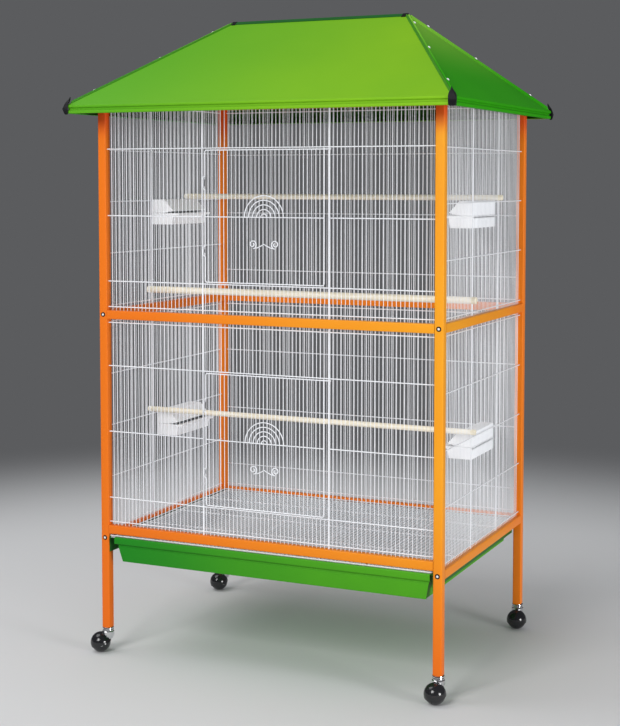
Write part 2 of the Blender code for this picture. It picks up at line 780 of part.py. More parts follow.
def build_caster(x_name, y_name, side_x, side_y, trail_angle):
    """A fixed collar in the foot of the post, a hood that swivels on it, and a ball on an axle."""
    where = f"{y_name}_{x_name}"
    stem = Matrix.Translation((side_x * POST_X, side_y * POST_Y, 0))
    swivel = stem @ Matrix.Rotation(trail_angle, 4, "Z")
    centre = swivel @ Matrix.Translation((CASTER_TRAIL, 0, BALL_RADIUS))
    axle = centre @ Matrix.Rotation(pi / 2, 4, "X")

    name = f"caster_socket_{where}"
    socket = add_part(
        name,
        cylinder(name, COLLAR_RADIUS, COLLAR_BOTTOM_Z + GAP, POST_FOOT - GAP, 16),
        paint_of(name, CASTER_CHROME, 0.2, 1.0),
        stem,
    )
    join(socket, "plug", cylinder(name + "_plug", 0.0090, 0.0600, 0.0900, 12), stem)
    cut(socket, "bore", cylinder(name + "_bore", 0.0043, 0.0400, 0.0750, 12), stem)

    name = f"caster_hood_{where}"
    hood = add_part(
        name, ball(name, BALL_RADIUS + 0.0037, 14, 8), paint_of(name, CASTER_BLACK, 0.25), centre
    )
    join(hood, "boss", cylinder(name + "_boss", 0.0130, 0.0300, COLLAR_BOTTOM_Z, 14), swivel)
    cut(hood, "inside", ball(name + "_inside", BALL_RADIUS + 0.0015, 14, 8), centre)
    below = boxes(name + "_below", [((-0.08, -0.08, -0.10), (0.08, 0.08, 0))])
    cut(hood, "below", below, centre @ Matrix.Rotation(radians(18), 4, "Y"))
    axle_end = BALL_RADIUS + 0.0025
    join(hood, "axle", cylinder(name + "_axle", 0.0032, -axle_end, axle_end, 10), axle)
    join(hood, "pin", cylinder(name + "_pin", 0.0038, 0.0500, 0.0730, 10), swivel)

    name = f"caster_ball_{where}"
    wheel = add_part(name, ball(name, BALL_RADIUS, 16, 8), paint_of(name, CASTER_BLACK, 0.3), axle)
    cut(wheel, "bore", cylinder(name + "_bore", 0.0037, -0.04, 0.04, 10), axle)
    for part in (socket, hood, wheel):
        part.data.shade_smooth()
        part.data.set_sharp_from_angle(angle=radians(40))


def build_casters():
    build_caster("left", "front", -1, -1, radians(215))
    build_caster("right", "front", 1, -1, radians(265))
    build_caster("left", "rear", -1, 1, radians(240))
    build_caster("right", "rear", 1, 1, radians(280))


build_frame()
build_walls()
build_door("upper")
build_door("lower")
build_roof()
build_ridge_cap()
build_corner_caps()
build_grate()
build_tray()
build_runners()
build_perches()
build_feeders()
build_casters()
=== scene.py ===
# %% [markdown]
# # A parrot cage on ball casters
#
# The cage is a frame of square steel tube, walls of white wire, a hipped roof of folded
# sheet, a grate over a tray, wooden perches, hooded feeders and four ball casters.
# Almost everything on it repeats: 81 wires to a long wall, twelve rails, four casters.
# So the plan is to describe each shape once, with its real sizes, and let nodes and short
# functions place the copies.
#
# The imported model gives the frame: where each piece is, and which pieces move together.

# %% Load the frame
from functools import partial
from math import cos, pi, radians, sin

import bmesh
import bpy
from mathutils import Matrix, Vector


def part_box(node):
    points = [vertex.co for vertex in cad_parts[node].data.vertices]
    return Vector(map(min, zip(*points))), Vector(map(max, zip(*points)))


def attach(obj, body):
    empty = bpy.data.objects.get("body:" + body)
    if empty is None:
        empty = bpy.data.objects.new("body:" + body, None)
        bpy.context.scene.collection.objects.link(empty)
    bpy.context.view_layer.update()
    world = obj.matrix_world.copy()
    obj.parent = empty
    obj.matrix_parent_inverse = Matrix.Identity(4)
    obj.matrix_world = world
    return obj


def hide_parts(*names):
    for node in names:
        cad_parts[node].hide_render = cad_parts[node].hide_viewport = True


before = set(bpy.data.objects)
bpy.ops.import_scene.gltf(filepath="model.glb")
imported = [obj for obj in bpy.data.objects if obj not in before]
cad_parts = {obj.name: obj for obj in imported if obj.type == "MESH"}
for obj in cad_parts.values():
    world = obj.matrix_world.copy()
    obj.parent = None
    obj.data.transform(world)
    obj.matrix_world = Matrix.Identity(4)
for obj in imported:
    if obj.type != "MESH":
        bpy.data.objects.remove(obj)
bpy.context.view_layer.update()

# %% [markdown]
# ## Sizes that several pieces share
#
# The walls lie in the middle of the tubes. Each wall is described by how far along it a
# point is, how far out of its plane, and how high. One function turns those three numbers
# into a place, so that a wire pattern is written once and used on all four sides.

# %% Shared sizes
TUBE = 0.022
POST_X = 0.449
POST_Y = 0.319
FRONT_PITCH = 0.01066
SIDE_PITCH = 0.01057

WIRE = 0.00125
UPRIGHT_WIRE = 0.0008
CROSS_WIRE = 0.0014
CROSS_OUT = 0.0021
THICK_WIRE = 0.0021

TOP_RAIL_LIFT = 0.0018
TOP_RAIL_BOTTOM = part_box("rail_front_top")[0][2] + TOP_RAIL_LIFT
MID_RAIL = (0.859, 0.881)
FRONT_BOTTOM_RAIL_TOP = 0.331
OTHER_BOTTOM_RAIL_TOP = 0.309

CROSS_WIRES = {
    ("upper", "front"): (0.955, 1.120, 1.287),
    ("upper", "rear"): (0.950, 1.115, 1.282),
    ("upper", "side"): (1.024, 1.155, 1.285),
    ("lower", "front"): (0.402, 0.572, 0.740),
    ("lower", "rear"): (0.378, 0.545, 0.715),
    ("lower", "side"): (0.450, 0.583, 0.716),
}


def on_wall(wall, along, out, up):
    """The place of a point that is given along a wall, out of its plane and up."""
    if wall == "front":
        return Vector((along, -POST_Y - out, up))
    if wall == "rear":
        return Vector((along, POST_Y + out, up))
    if wall == "right":
        return Vector((POST_X + out, along, up))
    return Vector((-POST_X - out, along, up))


print("top rails start at", round(TOP_RAIL_BOTTOM, 4))

# %% [markdown]
# ## Helpers for objects and nodes
#
# The light, the finishes and the wire are all made of nodes. A node takes several steps:
# make it, choose its mode, fill its inputs, link it to the nodes before it. Two short
# functions do all of that, so that each node below reads as one sentence. A third starts a
# tree of its own, with named inputs and outputs, and gives back the function that adds a
# node to it. Before them come the two steps that every object on the cage needs.

# %% Object helpers
def new_object(name, data):
    made = bpy.data.objects.new(name, data)
    bpy.context.scene.collection.objects.link(made)
    return made


def mesh_of(shape, name):
    mesh = bpy.data.meshes.new(name)
    shape.to_mesh(mesh)
    shape.free()
    return mesh

# %% Node helpers
def fill(tree, node, inputs):
    """Fills inputs. Each takes a value, another node's output, or a list of outputs."""
    for key, value in inputs.items():
        for source in value if isinstance(value, list) else [value]:
            if isinstance(source, bpy.types.NodeSocket):
                tree.links.new(source, node.inputs[key])
            else:
                node.inputs[key].default_value = source


def add_node(tree, kind, inputs=None, **settings):
    """A new node, with its settings made and its inputs filled."""
    made = tree.nodes.new(kind)
    for name, value in settings.items():
        setattr(made, name, value)
    fill(tree, made, inputs or {})
    return made


def multiplied(tree, first, second):
    return add_node(tree, "ShaderNodeMath", {0: first, 1: second}, operation="MULTIPLY").outputs[0]


def new_tree(name, kind, inputs, outputs):
    """An empty tree with named inputs, some with a starting value, and named outputs.

    Gives back the tree, a function that adds a node to it, and what its inputs give.
    """
    tree = bpy.data.node_groups.new(name, kind)
    for title, socket_kind, *start in inputs:
        socket = tree.interface.new_socket(name=title, in_out="INPUT", socket_type=socket_kind)
        if start:
            socket.default_value = start[0]
    for title, socket_kind in outputs:
        tree.interface.new_socket(name=title, in_out="OUTPUT", socket_type=socket_kind)
    return tree, partial(add_node, tree), add_node(tree, "NodeGroupInput").outputs


NUMBER = "NodeSocketFloat"
WHOLE = "NodeSocketInt"
VECTOR = "NodeSocketVector"
MATERIAL = "NodeSocketMaterial"
GEOMETRY = "NodeSocketGeometry"

# %% [markdown]
# ## Camera
#
# The camera stands to the right of the cage's front, a little below the eave, and looks
# slightly down. Its place and lens were found by fitting the posts, rails and roof corners
# to the photograph. The optical axis is above the picture's middle, which is a small
# vertical shift.

# %% Camera
camera_data = bpy.data.cameras.new("camera")
camera_data.sensor_fit = "AUTO"
camera_data.sensor_width = 36.0
camera_data.lens = 72.74
camera_data.shift_y = -0.12
camera = new_object("camera", camera_data)
camera.location = (1.5643, -3.4763, 1.2050)
camera.rotation_euler = (radians(90 - 3.668), 0, radians(24.557))
bpy.context.scene.camera = camera
bpy.context.scene.view_settings.view_transform = "Standard"
print("camera", camera_data.lens, "mm")

# %% [markdown]
# ## Light, floor and background
#
# White wire disappears on a white ground. So the floor is pale close to the cage, where it
# catches the shadows, and fades into a dark grey background further away, against which the
# wires stand out. No horizon crosses the picture.
# A large soft lamp in front gives the long roof slope its brightness and leaves the right
# slope darker; painted shade in the end slopes' green darkens it further. The sky fills the
# shadows evenly, and what the camera and the polished metal see in its place is the grey of
# the background.

# %% Lamps and world
BACKGROUND = (0.105, 0.107, 0.112, 1)
PALE_FLOOR = (0.66, 0.66, 0.665, 1)
SKY = (0.94, 0.97, 1.0, 1)
SKY_STRENGTH = 0.42


def soft_lamp(name, place, target, size, power):
    lamp = bpy.data.lights.new(name, "AREA")
    lamp.shape = "SQUARE"
    lamp.size = size
    lamp.energy = power
    holder = new_object(name, lamp)
    holder.location = place
    aim = Vector(target) - Vector(place)
    holder.rotation_euler = aim.to_track_quat("-Z", "Y").to_euler()


soft_lamp("key", (-0.6, -4.8, 3.4), (0, 0, 0.9), 2.2, 156)
soft_lamp("fill", (4.4, -1.6, 0.75), (0, 0, 0.7), 1.2, 100)
soft_lamp("top", (-2.2, -0.8, 4.0), (0, 0, 1.0), 2.4, 46)


def backdrop_rays(tree):
    """Is 1 for what the camera, polished metal and glass see, and 0 for plain lighting."""
    path = add_node(tree, "ShaderNodeLightPath")
    shown = path.outputs["Is Camera Ray"]
    for kind in ("Is Glossy Ray", "Is Transmission Ray"):
        either = add_node(tree, "ShaderNodeMath", {0: shown, 1: path.outputs[kind]}, operation="MAXIMUM")
        shown = either.outputs[0]
    return shown


world = bpy.data.worlds.new("studio")
bpy.context.scene.world = world
world.use_nodes = True
tree = world.node_tree
tree.nodes.clear()
node = partial(add_node, tree)
sky_light = node("ShaderNodeBackground", {"Color": SKY, "Strength": SKY_STRENGTH})
sky_shown = node("ShaderNodeBackground", {"Color": BACKGROUND})
sky_mix = node("ShaderNodeMixShader", {
    "Fac": backdrop_rays(tree), 1: sky_light.outputs[0], 2: sky_shown.outputs[0],
})
node("ShaderNodeOutputWorld", {"Surface": sky_mix.outputs[0]})
print("lamps:", len(bpy.data.lights))

# %% Floor
PALE_REACH = 1.2
DARK_FROM = 3.2
FLOOR_RADIUS = 30

floor_paint = bpy.data.materials.new("floor_grey")
floor_paint.use_nodes = True
tree = floor_paint.node_tree
tree.nodes.clear()
node = partial(add_node, tree)
place = node("ShaderNodeTexCoord")
length = node("ShaderNodeVectorMath", {0: place.outputs["Object"]}, operation="LENGTH")
fade = node("ShaderNodeMapRange", {
    "Value": length.outputs["Value"], "From Min": PALE_REACH, "From Max": DARK_FROM,
}, interpolation_type="SMOOTHERSTEP")
matt = node("ShaderNodeBsdfDiffuse", {"Color": PALE_FLOOR})
glow = node("ShaderNodeEmission", {"Color": BACKGROUND})
blend = node("ShaderNodeMixShader", {
    "Fac": multiplied(tree, fade.outputs["Result"], backdrop_rays(tree)),
    1: matt.outputs[0], 2: glow.outputs[0],
})
node("ShaderNodeOutputMaterial", {"Surface": blend.outputs[0]})

floor_shape = bmesh.new()
bmesh.ops.create_circle(floor_shape, cap_ends=True, segments=96, radius=FLOOR_RADIUS)
floor_mesh = mesh_of(floor_shape, "floor")
floor_mesh.materials.append(floor_paint)
new_object("floor", floor_mesh)
print("floor fades from", PALE_REACH, "to", DARK_FROM, "m")

# %% [markdown]
# ## Shared surface effects
#
# Every finish on the cage is a smooth coat over something: enamel on steel, powder on wire,
# polish on moulded plastic. What makes such a coat look real is small: a faint orange peel
# in the gloss, a slow drift in its colour, a little dust on faces that look up. These come
# from one node group, built once, that each material uses with its own values. Wood is
# different, because its pattern runs along the dowel, so it has a group of its own.

# %% Node group: coat
coat_group, node, given = new_tree(
    "coat_surface", "ShaderNodeTree",
    [("Peel Scale", NUMBER, 420.0), ("Peel Height", NUMBER, 0.00002), ("Drift Scale", NUMBER, 3.0),
     ("Dust", NUMBER, 0.1)],
    [("Drift", NUMBER), ("Dust", NUMBER), ("Normal", VECTOR)],
)
spot = node("ShaderNodeTexCoord").outputs["Object"]
peel = node("ShaderNodeTexNoise", {"Vector": spot, "Scale": given["Peel Scale"], "Detail": 2.0})
drift = node("ShaderNodeTexNoise", {"Vector": spot, "Scale": given["Drift Scale"], "Detail": 3.0})
speckle = node("ShaderNodeTexNoise", {"Vector": spot, "Scale": 60.0, "Detail": 4.0})
bump = node("ShaderNodeBump", {
    "Height": peel.outputs["Fac"], "Distance": given["Peel Height"], "Strength": 1.0,
})
facing = node("ShaderNodeNewGeometry")
split = node("ShaderNodeSeparateXYZ", {0: facing.outputs["Normal"]})
upward = node("ShaderNodeMapRange", {"Value": split.outputs["Z"], "From Min": 0.3, "From Max": 1.0})
dusty = multiplied(coat_group, upward.outputs["Result"], speckle.outputs["Fac"])
node("NodeGroupOutput", {
    "Drift": drift.outputs["Fac"], "Dust": multiplied(coat_group, dusty, given["Dust"]),
    "Normal": bump.outputs["Normal"],
})
print("group", coat_group.name, "with", len(coat_group.nodes), "nodes")

# %% Node group: wood
ALONG_GRAIN = 0.035

wood_group, node, given = new_tree(
    "dowel_grain", "ShaderNodeTree",
    [("Line Scale", NUMBER, 260.0), ("Bump Height", NUMBER, 0.00012)],
    [("Grain", NUMBER), ("Pores", NUMBER), ("Normal", VECTOR)],
)
spot = node("ShaderNodeTexCoord")
stretch = node("ShaderNodeMapping", {"Vector": spot.outputs["Object"], "Scale": (ALONG_GRAIN, 1.0, 1.0)})
grain = node("ShaderNodeTexNoise", {
    "Vector": stretch.outputs["Vector"], "Scale": given["Line Scale"], "Detail": 5.0, "Distortion": 0.6,
})
fleck = node("ShaderNodeTexNoise", {"Vector": stretch.outputs["Vector"], "Scale": 900.0})
bump = node("ShaderNodeBump", {"Height": grain.outputs["Fac"], "Distance": given["Bump Height"]})
node("NodeGroupOutput", {
    "Grain": grain.outputs["Fac"], "Pores": fleck.outputs["Fac"], "Normal": bump.outputs["Normal"],
})
print("group", wood_group.name, "with", len(wood_group.nodes), "nodes")

# %% [markdown]
# ## Finishes
#
# A coated finish is written by naming its two nearest colours, which the slow drift mixes,
# its roughness and the height of its orange peel. Painted shade can be laid over it as ramps:
# each darkens or shifts the colour along an axis, and is given by where it starts, where it
# ends, and the colour it starts from. The frame's enamel, yellow-orange where it is lit, is
# painted red-orange as painted shade towards the feet, the left end, the rear posts and just
# under the eave.

# %% Coated materials
DUST_COLOUR = (0.55, 0.53, 0.48, 1)


def mixed(tree, factor, first, second):
    """The colour between two colours, by a factor."""
    mix = add_node(tree, "ShaderNodeMix", {"Factor": factor, "A": first, "B": second}, data_type="RGBA")
    return mix.outputs["Result"]


def coated(name, colour, other, roughness, peel_height, peel_scale=420.0, drift_scale=3.0,
           dust=0.1, metallic=0.0, specular=0.35, painted_shade_ramps=()):
    """A Principled material with the coat group's drift, dust and orange peel, and any ramps of painted shade
    over its colour.
    """
    made = bpy.data.materials.new(name)
    made.use_nodes = True
    tree = made.node_tree
    surface = add_node(tree, "ShaderNodeGroup", {
        "Peel Scale": peel_scale, "Peel Height": peel_height, "Drift Scale": drift_scale, "Dust": dust,
    }, node_tree=coat_group)
    spread = add_node(tree, "ShaderNodeMapRange", {
        "Value": surface.outputs["Drift"], "From Min": 0.35, "From Max": 0.65,
    })
    tone = mixed(tree, spread.outputs["Result"], (*colour, 1), (*other, 1))
    # Each ramp lays painted shade over the colour along one axis.
    for axis, start, end, start_colour in painted_shade_ramps:
        spot = add_node(tree, "ShaderNodeTexCoord")
        split = add_node(tree, "ShaderNodeSeparateXYZ", {0: spot.outputs["Object"]})
        along = add_node(tree, "ShaderNodeMapRange", {
            "Value": split.outputs[axis], "From Min": start, "From Max": end,
        }, interpolation_type="SMOOTHSTEP")
        tone = mixed(tree, along.outputs["Result"], (*start_colour, 1), tone)
    fill(tree, tree.nodes["Principled BSDF"], {
        "Base Color": mixed(tree, surface.outputs["Dust"], tone, DUST_COLOUR),
        "Normal": surface.outputs["Normal"],
        "Roughness": roughness, "Metallic": metallic, "Specular IOR Level": specular,
    })
    return made

# %% Enamels
# Painted shade on the frame: the enamel turns red-orange towards the left end, the feet, the rear posts and
# just under the eave.
FRAME_PAINTED_SHADE = (
    ("X", -0.42, 0.40, (0.78, 0.170, 0.010)),
    ("Z", 0.02, 0.50, (0.78, 0.150, 0.009)),
    ("Y", 0.33, 0.05, (0.88, 0.215, 0.012)),
    ("Z", 1.374, 1.30, (0.75, 0.090, 0.010)),
)
# The frame's orange enamel, with its painted shade.
frame_enamel = coated(
    "frame_enamel", (0.84, 0.34, 0.016), (0.82, 0.29, 0.013), 0.36, 0.00003,
    dust=0.02, specular=0.16, painted_shade_ramps=FRAME_PAINTED_SHADE)
white_powder = coated(
    "white_powder", (0.86, 0.87, 0.90), (0.80, 0.81, 0.85), 0.42, 0.00002, peel_scale=900.0, dust=0.02)
# The long slopes' green, with painted shade that darkens it towards the left end.
roof_enamel = coated(
    "roof_enamel", (0.215, 0.47, 0.010), (0.18, 0.43, 0.011), 0.50, 0.00008,
    specular=0.09, peel_scale=120.0, drift_scale=2.2, dust=0.01,
    painted_shade_ramps=(("X", -0.55, 0.40, (0.090, 0.35, 0.012)),))
# The end slopes use a shaded copy of the same green paint: darker all over as painted shade, lifting back
# towards the long slopes' green near the ridge.
roof_end_shaded_copy = coated(
    "roof_end_shaded_copy", (0.030, 0.330, 0.004), (0.025, 0.300, 0.004), 0.55, 0.00008,
    specular=0.04, peel_scale=120.0, drift_scale=2.2, dust=0.01,
    painted_shade_ramps=(("Z", 1.64, 1.44, (0.200, 0.480, 0.040)),))
# The underside of every roof sheet is dark green: painted shade under the roof.
roof_underside_shade = coated(
    "roof_underside_shade", (0.020, 0.075, 0.010), (0.018, 0.060, 0.010), 0.55, 0.00005, specular=0.08, dust=0.0)
# The hip flanges on the long sheets are darker green: painted shade along the hips.
hip_flange_shade = coated(
    "hip_flange_shade", (0.045, 0.22, 0.010), (0.040, 0.19, 0.010), 0.45, 0.00005, specular=0.12, dust=0.0)
ridge_enamel = coated(
    "ridge_enamel", (0.012, 0.13, 0.020), (0.010, 0.10, 0.018), 0.45, 0.00005, specular=0.12, dust=0.01)
# The runners' dark green is partly their paint and partly painted shade under the side rails.
runner_paint_and_shade = coated(
    "runner_paint_and_shade", (0.020, 0.140, 0.020), (0.016, 0.110, 0.018), 0.42, 0.00005, specular=0.2, dust=0.02)
# The tray's green, with painted shade that darkens it towards the left end.
tray_enamel = coated(
    "tray_enamel", (0.080, 0.36, 0.012), (0.065, 0.32, 0.013), 0.45, 0.00006,
    specular=0.10, dust=0.01, painted_shade_ramps=(("X", -0.45, 0.30, (0.014, 0.22, 0.014)),))
pan_enamel = coated("pan_enamel", (0.66, 0.68, 0.69), (0.58, 0.60, 0.62), 0.36, 0.00005, dust=0.12)
print("enamels, from", frame_enamel.name, "to", pan_enamel.name)

# %% Plastics and bright metal
black_plastic = coated(
    "black_plastic", (0.008, 0.008, 0.010), (0.012, 0.012, 0.014), 0.42, 0.00004,
    peel_scale=700.0, dust=0.0, specular=0.15)
black_gloss = coated(
    "black_gloss", (0.010, 0.010, 0.012), (0.013, 0.013, 0.015), 0.16, 0.00002,
    peel_scale=700.0, dust=0.0, specular=0.6)
feeder_plastic = coated(
    "feeder_plastic", (0.94, 0.95, 0.97), (0.92, 0.93, 0.95), 0.48, 0.00003,
    peel_scale=500.0, dust=0.0, specular=0.2)
chrome_plate = coated(
    "chrome_plate", (0.75, 0.75, 0.77), (0.70, 0.70, 0.72), 0.10, 0.00001, metallic=1.0, dust=0.02)
# Pale non-metal finish for the steel screw and bolt heads: a painted highlight that stands in for their
# glints.
bolt_painted_glint = coated("bolt_painted_glint", (0.80, 0.80, 0.81), (0.74, 0.74, 0.75), 0.35, 0.00001, dust=0.0)
print("plastics and metal, from", black_plastic.name, "to", bolt_painted_glint.name)

# %% Wood
GRAIN_COLOURS = ((0.32, (0.86, 0.77, 0.58, 1)), (0.62, (0.95, 0.89, 0.75, 1)))

perch_wood = bpy.data.materials.new("perch_wood")
perch_wood.use_nodes = True
tree = perch_wood.node_tree
grain = add_node(tree, "ShaderNodeGroup", node_tree=wood_group)
colours = add_node(tree, "ShaderNodeValToRGB", {"Fac": grain.outputs["Grain"]})
for stop, (position, colour) in zip(colours.color_ramp.elements, GRAIN_COLOURS):
    stop.position = position
    stop.color = colour
rough = add_node(tree, "ShaderNodeMapRange", {
    "Value": grain.outputs["Pores"], "To Min": 0.50, "To Max": 0.72,
})
fill(tree, tree.nodes["Principled BSDF"], {
    "Base Color": colours.outputs["Color"], "Roughness": rough.outputs["Result"],
    "Normal": grain.outputs["Normal"],
})
print("wood for the perches")

# %% [markdown]
# ## Helpers for making and finishing a piece
#
# Most shapes here are skins: a section is drawn, repeated with small changes, and faces are
# laid between one section and the next. A tube, a folded sheet, a cap and a dowel differ
# only in their sections. Sheet metal is drawn as a thin surface first, and its thickness is
# added afterwards.
#
# A piece is built from simple meshes, gathered into one object whose place is in its mesh,
# and then handed to the body that carries it. Each piece stands for one node of the model,
# so moving a joint moves the right things.

# %% Mesh helpers
def skinned(name, sections, caps=(0, -1), closed=True, wrap=False, smooth=True, facing=None):
    """Faces between each section and the next one, pointing outwards or the given way.

    A closed section joins its last point to its first. Wrapping joins the last section to
    the first one. Caps names the sections that are filled.
    """
    shape = bmesh.new()
    rings = [[shape.verts.new(point) for point in section] for section in sections]
    count = len(rings[0])
    for first, second in zip(rings, rings[1:] + rings[:1] if wrap else rings[1:]):
        for index in range(count if closed else count - 1):
            after = (index + 1) % count
            shape.faces.new((first[index], first[after], second[after], second[index]))
    for cap in () if wrap else caps:
        shape.faces.new(rings[cap])
    bmesh.ops.recalc_face_normals(shape, faces=shape.faces)
    if facing:
        shape.normal_update()
        if sum(face.normal.dot(Vector(facing)) * face.calc_area() for face in shape.faces) < 0:
            bmesh.ops.reverse_faces(shape, faces=shape.faces)
    for face in shape.faces:
        face.smooth = smooth
    return mesh_of(shape, name)


def sharpened(mesh, angle, finish=None):
    """Keeps the edges sharper than an angle crisp, and adds a finish where one is given."""
    mesh.set_sharp_from_angle(angle=radians(angle))
    if finish:
        mesh.materials.append(finish)
    return mesh


def evaluated(made):
    """The plain mesh of an object with its modifiers applied; the object itself goes."""
    graph = bpy.context.evaluated_depsgraph_get()
    mesh = bpy.data.meshes.new_from_object(made.evaluated_get(graph), depsgraph=graph)
    mesh.transform(made.matrix_world)
    bpy.data.objects.remove(made, do_unlink=True)
    return mesh


def thickened(mesh, thickness, *finishes):
    """Gives a drawn surface the thickness of its sheet; the second finish goes underneath."""
    for finish in finishes:
        mesh.materials.append(finish)
    made = new_object("sheet", mesh)
    sheet = made.modifiers.new("sheet", "SOLIDIFY")
    sheet.thickness = thickness
    sheet.offset = -1.0
    sheet.material_offset = max(len(finishes) - 1, 0)
    return evaluated(made)


def softened(mesh, width, angle):
    """Rounds the sharp edges of a mesh and keeps its flat faces flat."""
    mesh.polygons.foreach_set("use_smooth", [True] * len(mesh.polygons))
    made = new_object("soft", mesh)
    bevel = made.modifiers.new("bevel", "BEVEL")
    bevel.width = width
    bevel.segments = 2
    bevel.limit_method = "ANGLE"
    bevel.angle_limit = radians(angle)
    weighted = made.modifiers.new("weighted", "WEIGHTED_NORMAL")
    weighted.keep_sharp = True
    return evaluated(made)


def carved(name, body, tools):
    """A body with each tool taken out of it."""
    made = new_object(name, body)
    helpers = []
    for tool in tools:
        helper = new_object(name + "_tool", tool)
        helper.hide_render = True
        cut = made.modifiers.new("cut", "BOOLEAN")
        cut.operation = "DIFFERENCE"
        cut.object = helper
        cut.solver = "EXACT"
        helpers.append(helper)
    mesh = evaluated(made)
    for helper in helpers:
        bpy.data.objects.remove(helper, do_unlink=True)
    return mesh

# %% Gathering and handing over
def gathered(name, meshes, *finishes):
    """Joins meshes into one object. A face keeps its finish, or takes the first one."""
    shape = bmesh.new()
    for mesh in meshes:
        start = len(shape.faces)
        shape.from_mesh(mesh)
        shape.faces.ensure_lookup_table()
        for face in shape.faces[start:]:
            own = mesh.materials[face.material_index] if mesh.materials else None
            face.material_index = finishes.index(own) if own in finishes else 0
    joined = mesh_of(shape, name)
    for finish in finishes:
        joined.materials.append(finish)
    return new_object(name, joined)


def settle(piece, body, slot, *nodes):
    """Hands a finished piece to its body and hides the nodes it stands for; the slot is not used."""
    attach(piece, body)
    if nodes:
        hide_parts(*nodes)
    return piece

# %% [markdown]
# ## Frame of square tube
#
# Drawn steel tube has rounded corners, and those corners are what shows that it is tube:
# each one carries a thin line of light. A plain box would lose it. The section is a rounded
# square ring, about 2 mm in its outer radius, pushed along the length of the CAD piece, so
# each tube is hollow and open at its ends as the real one is.

# %% Square tube
CORNER = 0.0022
TUBE_WALL = 0.0014
INNER_CORNER = CORNER - TUBE_WALL * 0.6


def rounded_square(half, radius, steps=4):
    points = []
    for quarter in range(4):
        turn = Matrix.Rotation(quarter * pi / 2, 2)
        for step in range(steps + 1):
            angle = step / steps * pi / 2
            corner = Vector((half - radius + radius * cos(angle), half - radius + radius * sin(angle)))
            points.append(turn @ corner)
    return points


def square_tube(node):
    """A hollow tube along the longest side of the node's box."""
    low, high = (Vector(corner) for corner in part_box(node))
    size = high - low
    axis = max(range(3), key=lambda index: size[index])
    across = [index for index in range(3) if index != axis]
    centre = (low + high) / 2
    if node.endswith("_top"):
        centre.z += TOP_RAIL_LIFT
    outer = rounded_square(TUBE / 2, CORNER)
    inner = rounded_square(TUBE / 2 - TUBE_WALL, INNER_CORNER)
    sections = []
    for outline, end in ((outer, low), (outer, high), (inner, high), (inner, low)):
        section = []
        for u, v in outline:
            corner = Vector(centre)
            corner[across[0]] += u
            corner[across[1]] += v
            corner[axis] = end[axis]
            section.append(corner)
        sections.append(section)
    mesh = sharpened(skinned(node + "_tube", sections, wrap=True), 50, frame_enamel)
    return settle(new_object(node + "_tube", mesh), "cage", "frame_paint", node)


tube_nodes = [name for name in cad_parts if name.startswith(("post_", "rail_"))]
for name in tube_nodes:
    square_tube(name)
print("square tubes:", len(tube_nodes))

# %% [markdown]
# ## Wire, by nodes
#
# Two trees make all the wire on the cage. The first makes a row: one straight wire, copied
# at an even step, which is what the uprights of a welded wall are. The second follows any
# drawn line and rounds its corners, as bending a wire round a former does; it makes the
# cross wires, the door frames and the ornament. Both are sized by named inputs, and both
# lay the same round wire along a curve.

# %% What both trees share
def wire_along(tree, curve, given):
    """A smooth round wire with closed ends, laid along a curve."""
    ring = add_node(tree, "GeometryNodeCurvePrimitiveCircle", {
        "Radius": given["Radius"], "Resolution": given["Sides"],
    })
    tube = add_node(tree, "GeometryNodeCurveToMesh", {
        "Curve": curve, "Profile Curve": ring.outputs["Curve"], "Fill Caps": True,
    })
    smooth = add_node(tree, "GeometryNodeSetShadeSmooth", {"Geometry": tube.outputs["Mesh"]})
    return smooth.outputs["Geometry"]


def finish_tree(tree, geometry, finish):
    """Ends a tree: its copies are made real and get their finish."""
    real = add_node(tree, "GeometryNodeRealizeInstances", {"Geometry": geometry})
    paint = add_node(tree, "GeometryNodeSetMaterial", {
        "Geometry": real.outputs["Geometry"], "Material": finish,
    })
    add_node(tree, "NodeGroupOutput", {"Geometry": paint.outputs["Geometry"]})
    print("tree", tree.name, "with", len(tree.nodes), "nodes")

# %% Tree: a row of straight wires
row_tree, node, given = new_tree("wire_row", "GeometryNodeTree", [
    ("Geometry", GEOMETRY), ("First", VECTOR), ("Step", VECTOR), ("Count", WHOLE), ("Run", VECTOR),
    ("Radius", NUMBER), ("Sides", WHOLE), ("Finish", MATERIAL),
], [("Geometry", GEOMETRY)])
line = node("GeometryNodeMeshLine", {
    "Count": given["Count"], "Start Location": given["First"], "Offset": given["Step"],
}, mode="OFFSET")
run = node("GeometryNodeCurvePrimitiveLine", {"End": given["Run"]})
copies = node("GeometryNodeInstanceOnPoints", {
    "Points": line.outputs["Mesh"], "Instance": wire_along(row_tree, run.outputs["Curve"], given),
})
finish_tree(row_tree, copies.outputs["Instances"], given["Finish"])

# %% Tree: bent wire
bent_tree, node, given = new_tree("bent_wire", "GeometryNodeTree", [
    ("Geometry", GEOMETRY), ("Radius", NUMBER), ("Bend", NUMBER), ("Sides", WHOLE), ("Finish", MATERIAL),
], [("Geometry", GEOMETRY)])
path = node("GeometryNodeMeshToCurve", {"Mesh": given["Geometry"]})
fillet = node("GeometryNodeFilletCurve", {
    "Curve": path.outputs["Curve"], "Radius": given["Bend"], "Count": 4, "Limit Radius": True,
}, mode="POLY")
finish_tree(bent_tree, wire_along(bent_tree, fillet.outputs["Curve"], given), given["Finish"])

# %% Using the trees
def with_tree(made, tree, values):
    """Adds a tree to an object and sets its named inputs by their identifiers."""
    modifier = made.modifiers.new(tree.name, "NODES")
    modifier.node_group = tree
    for socket in tree.interface.items_tree:
        if socket.in_out == "INPUT" and socket.name in values:
            modifier[socket.identifier] = values[socket.name]
    return evaluated(made)


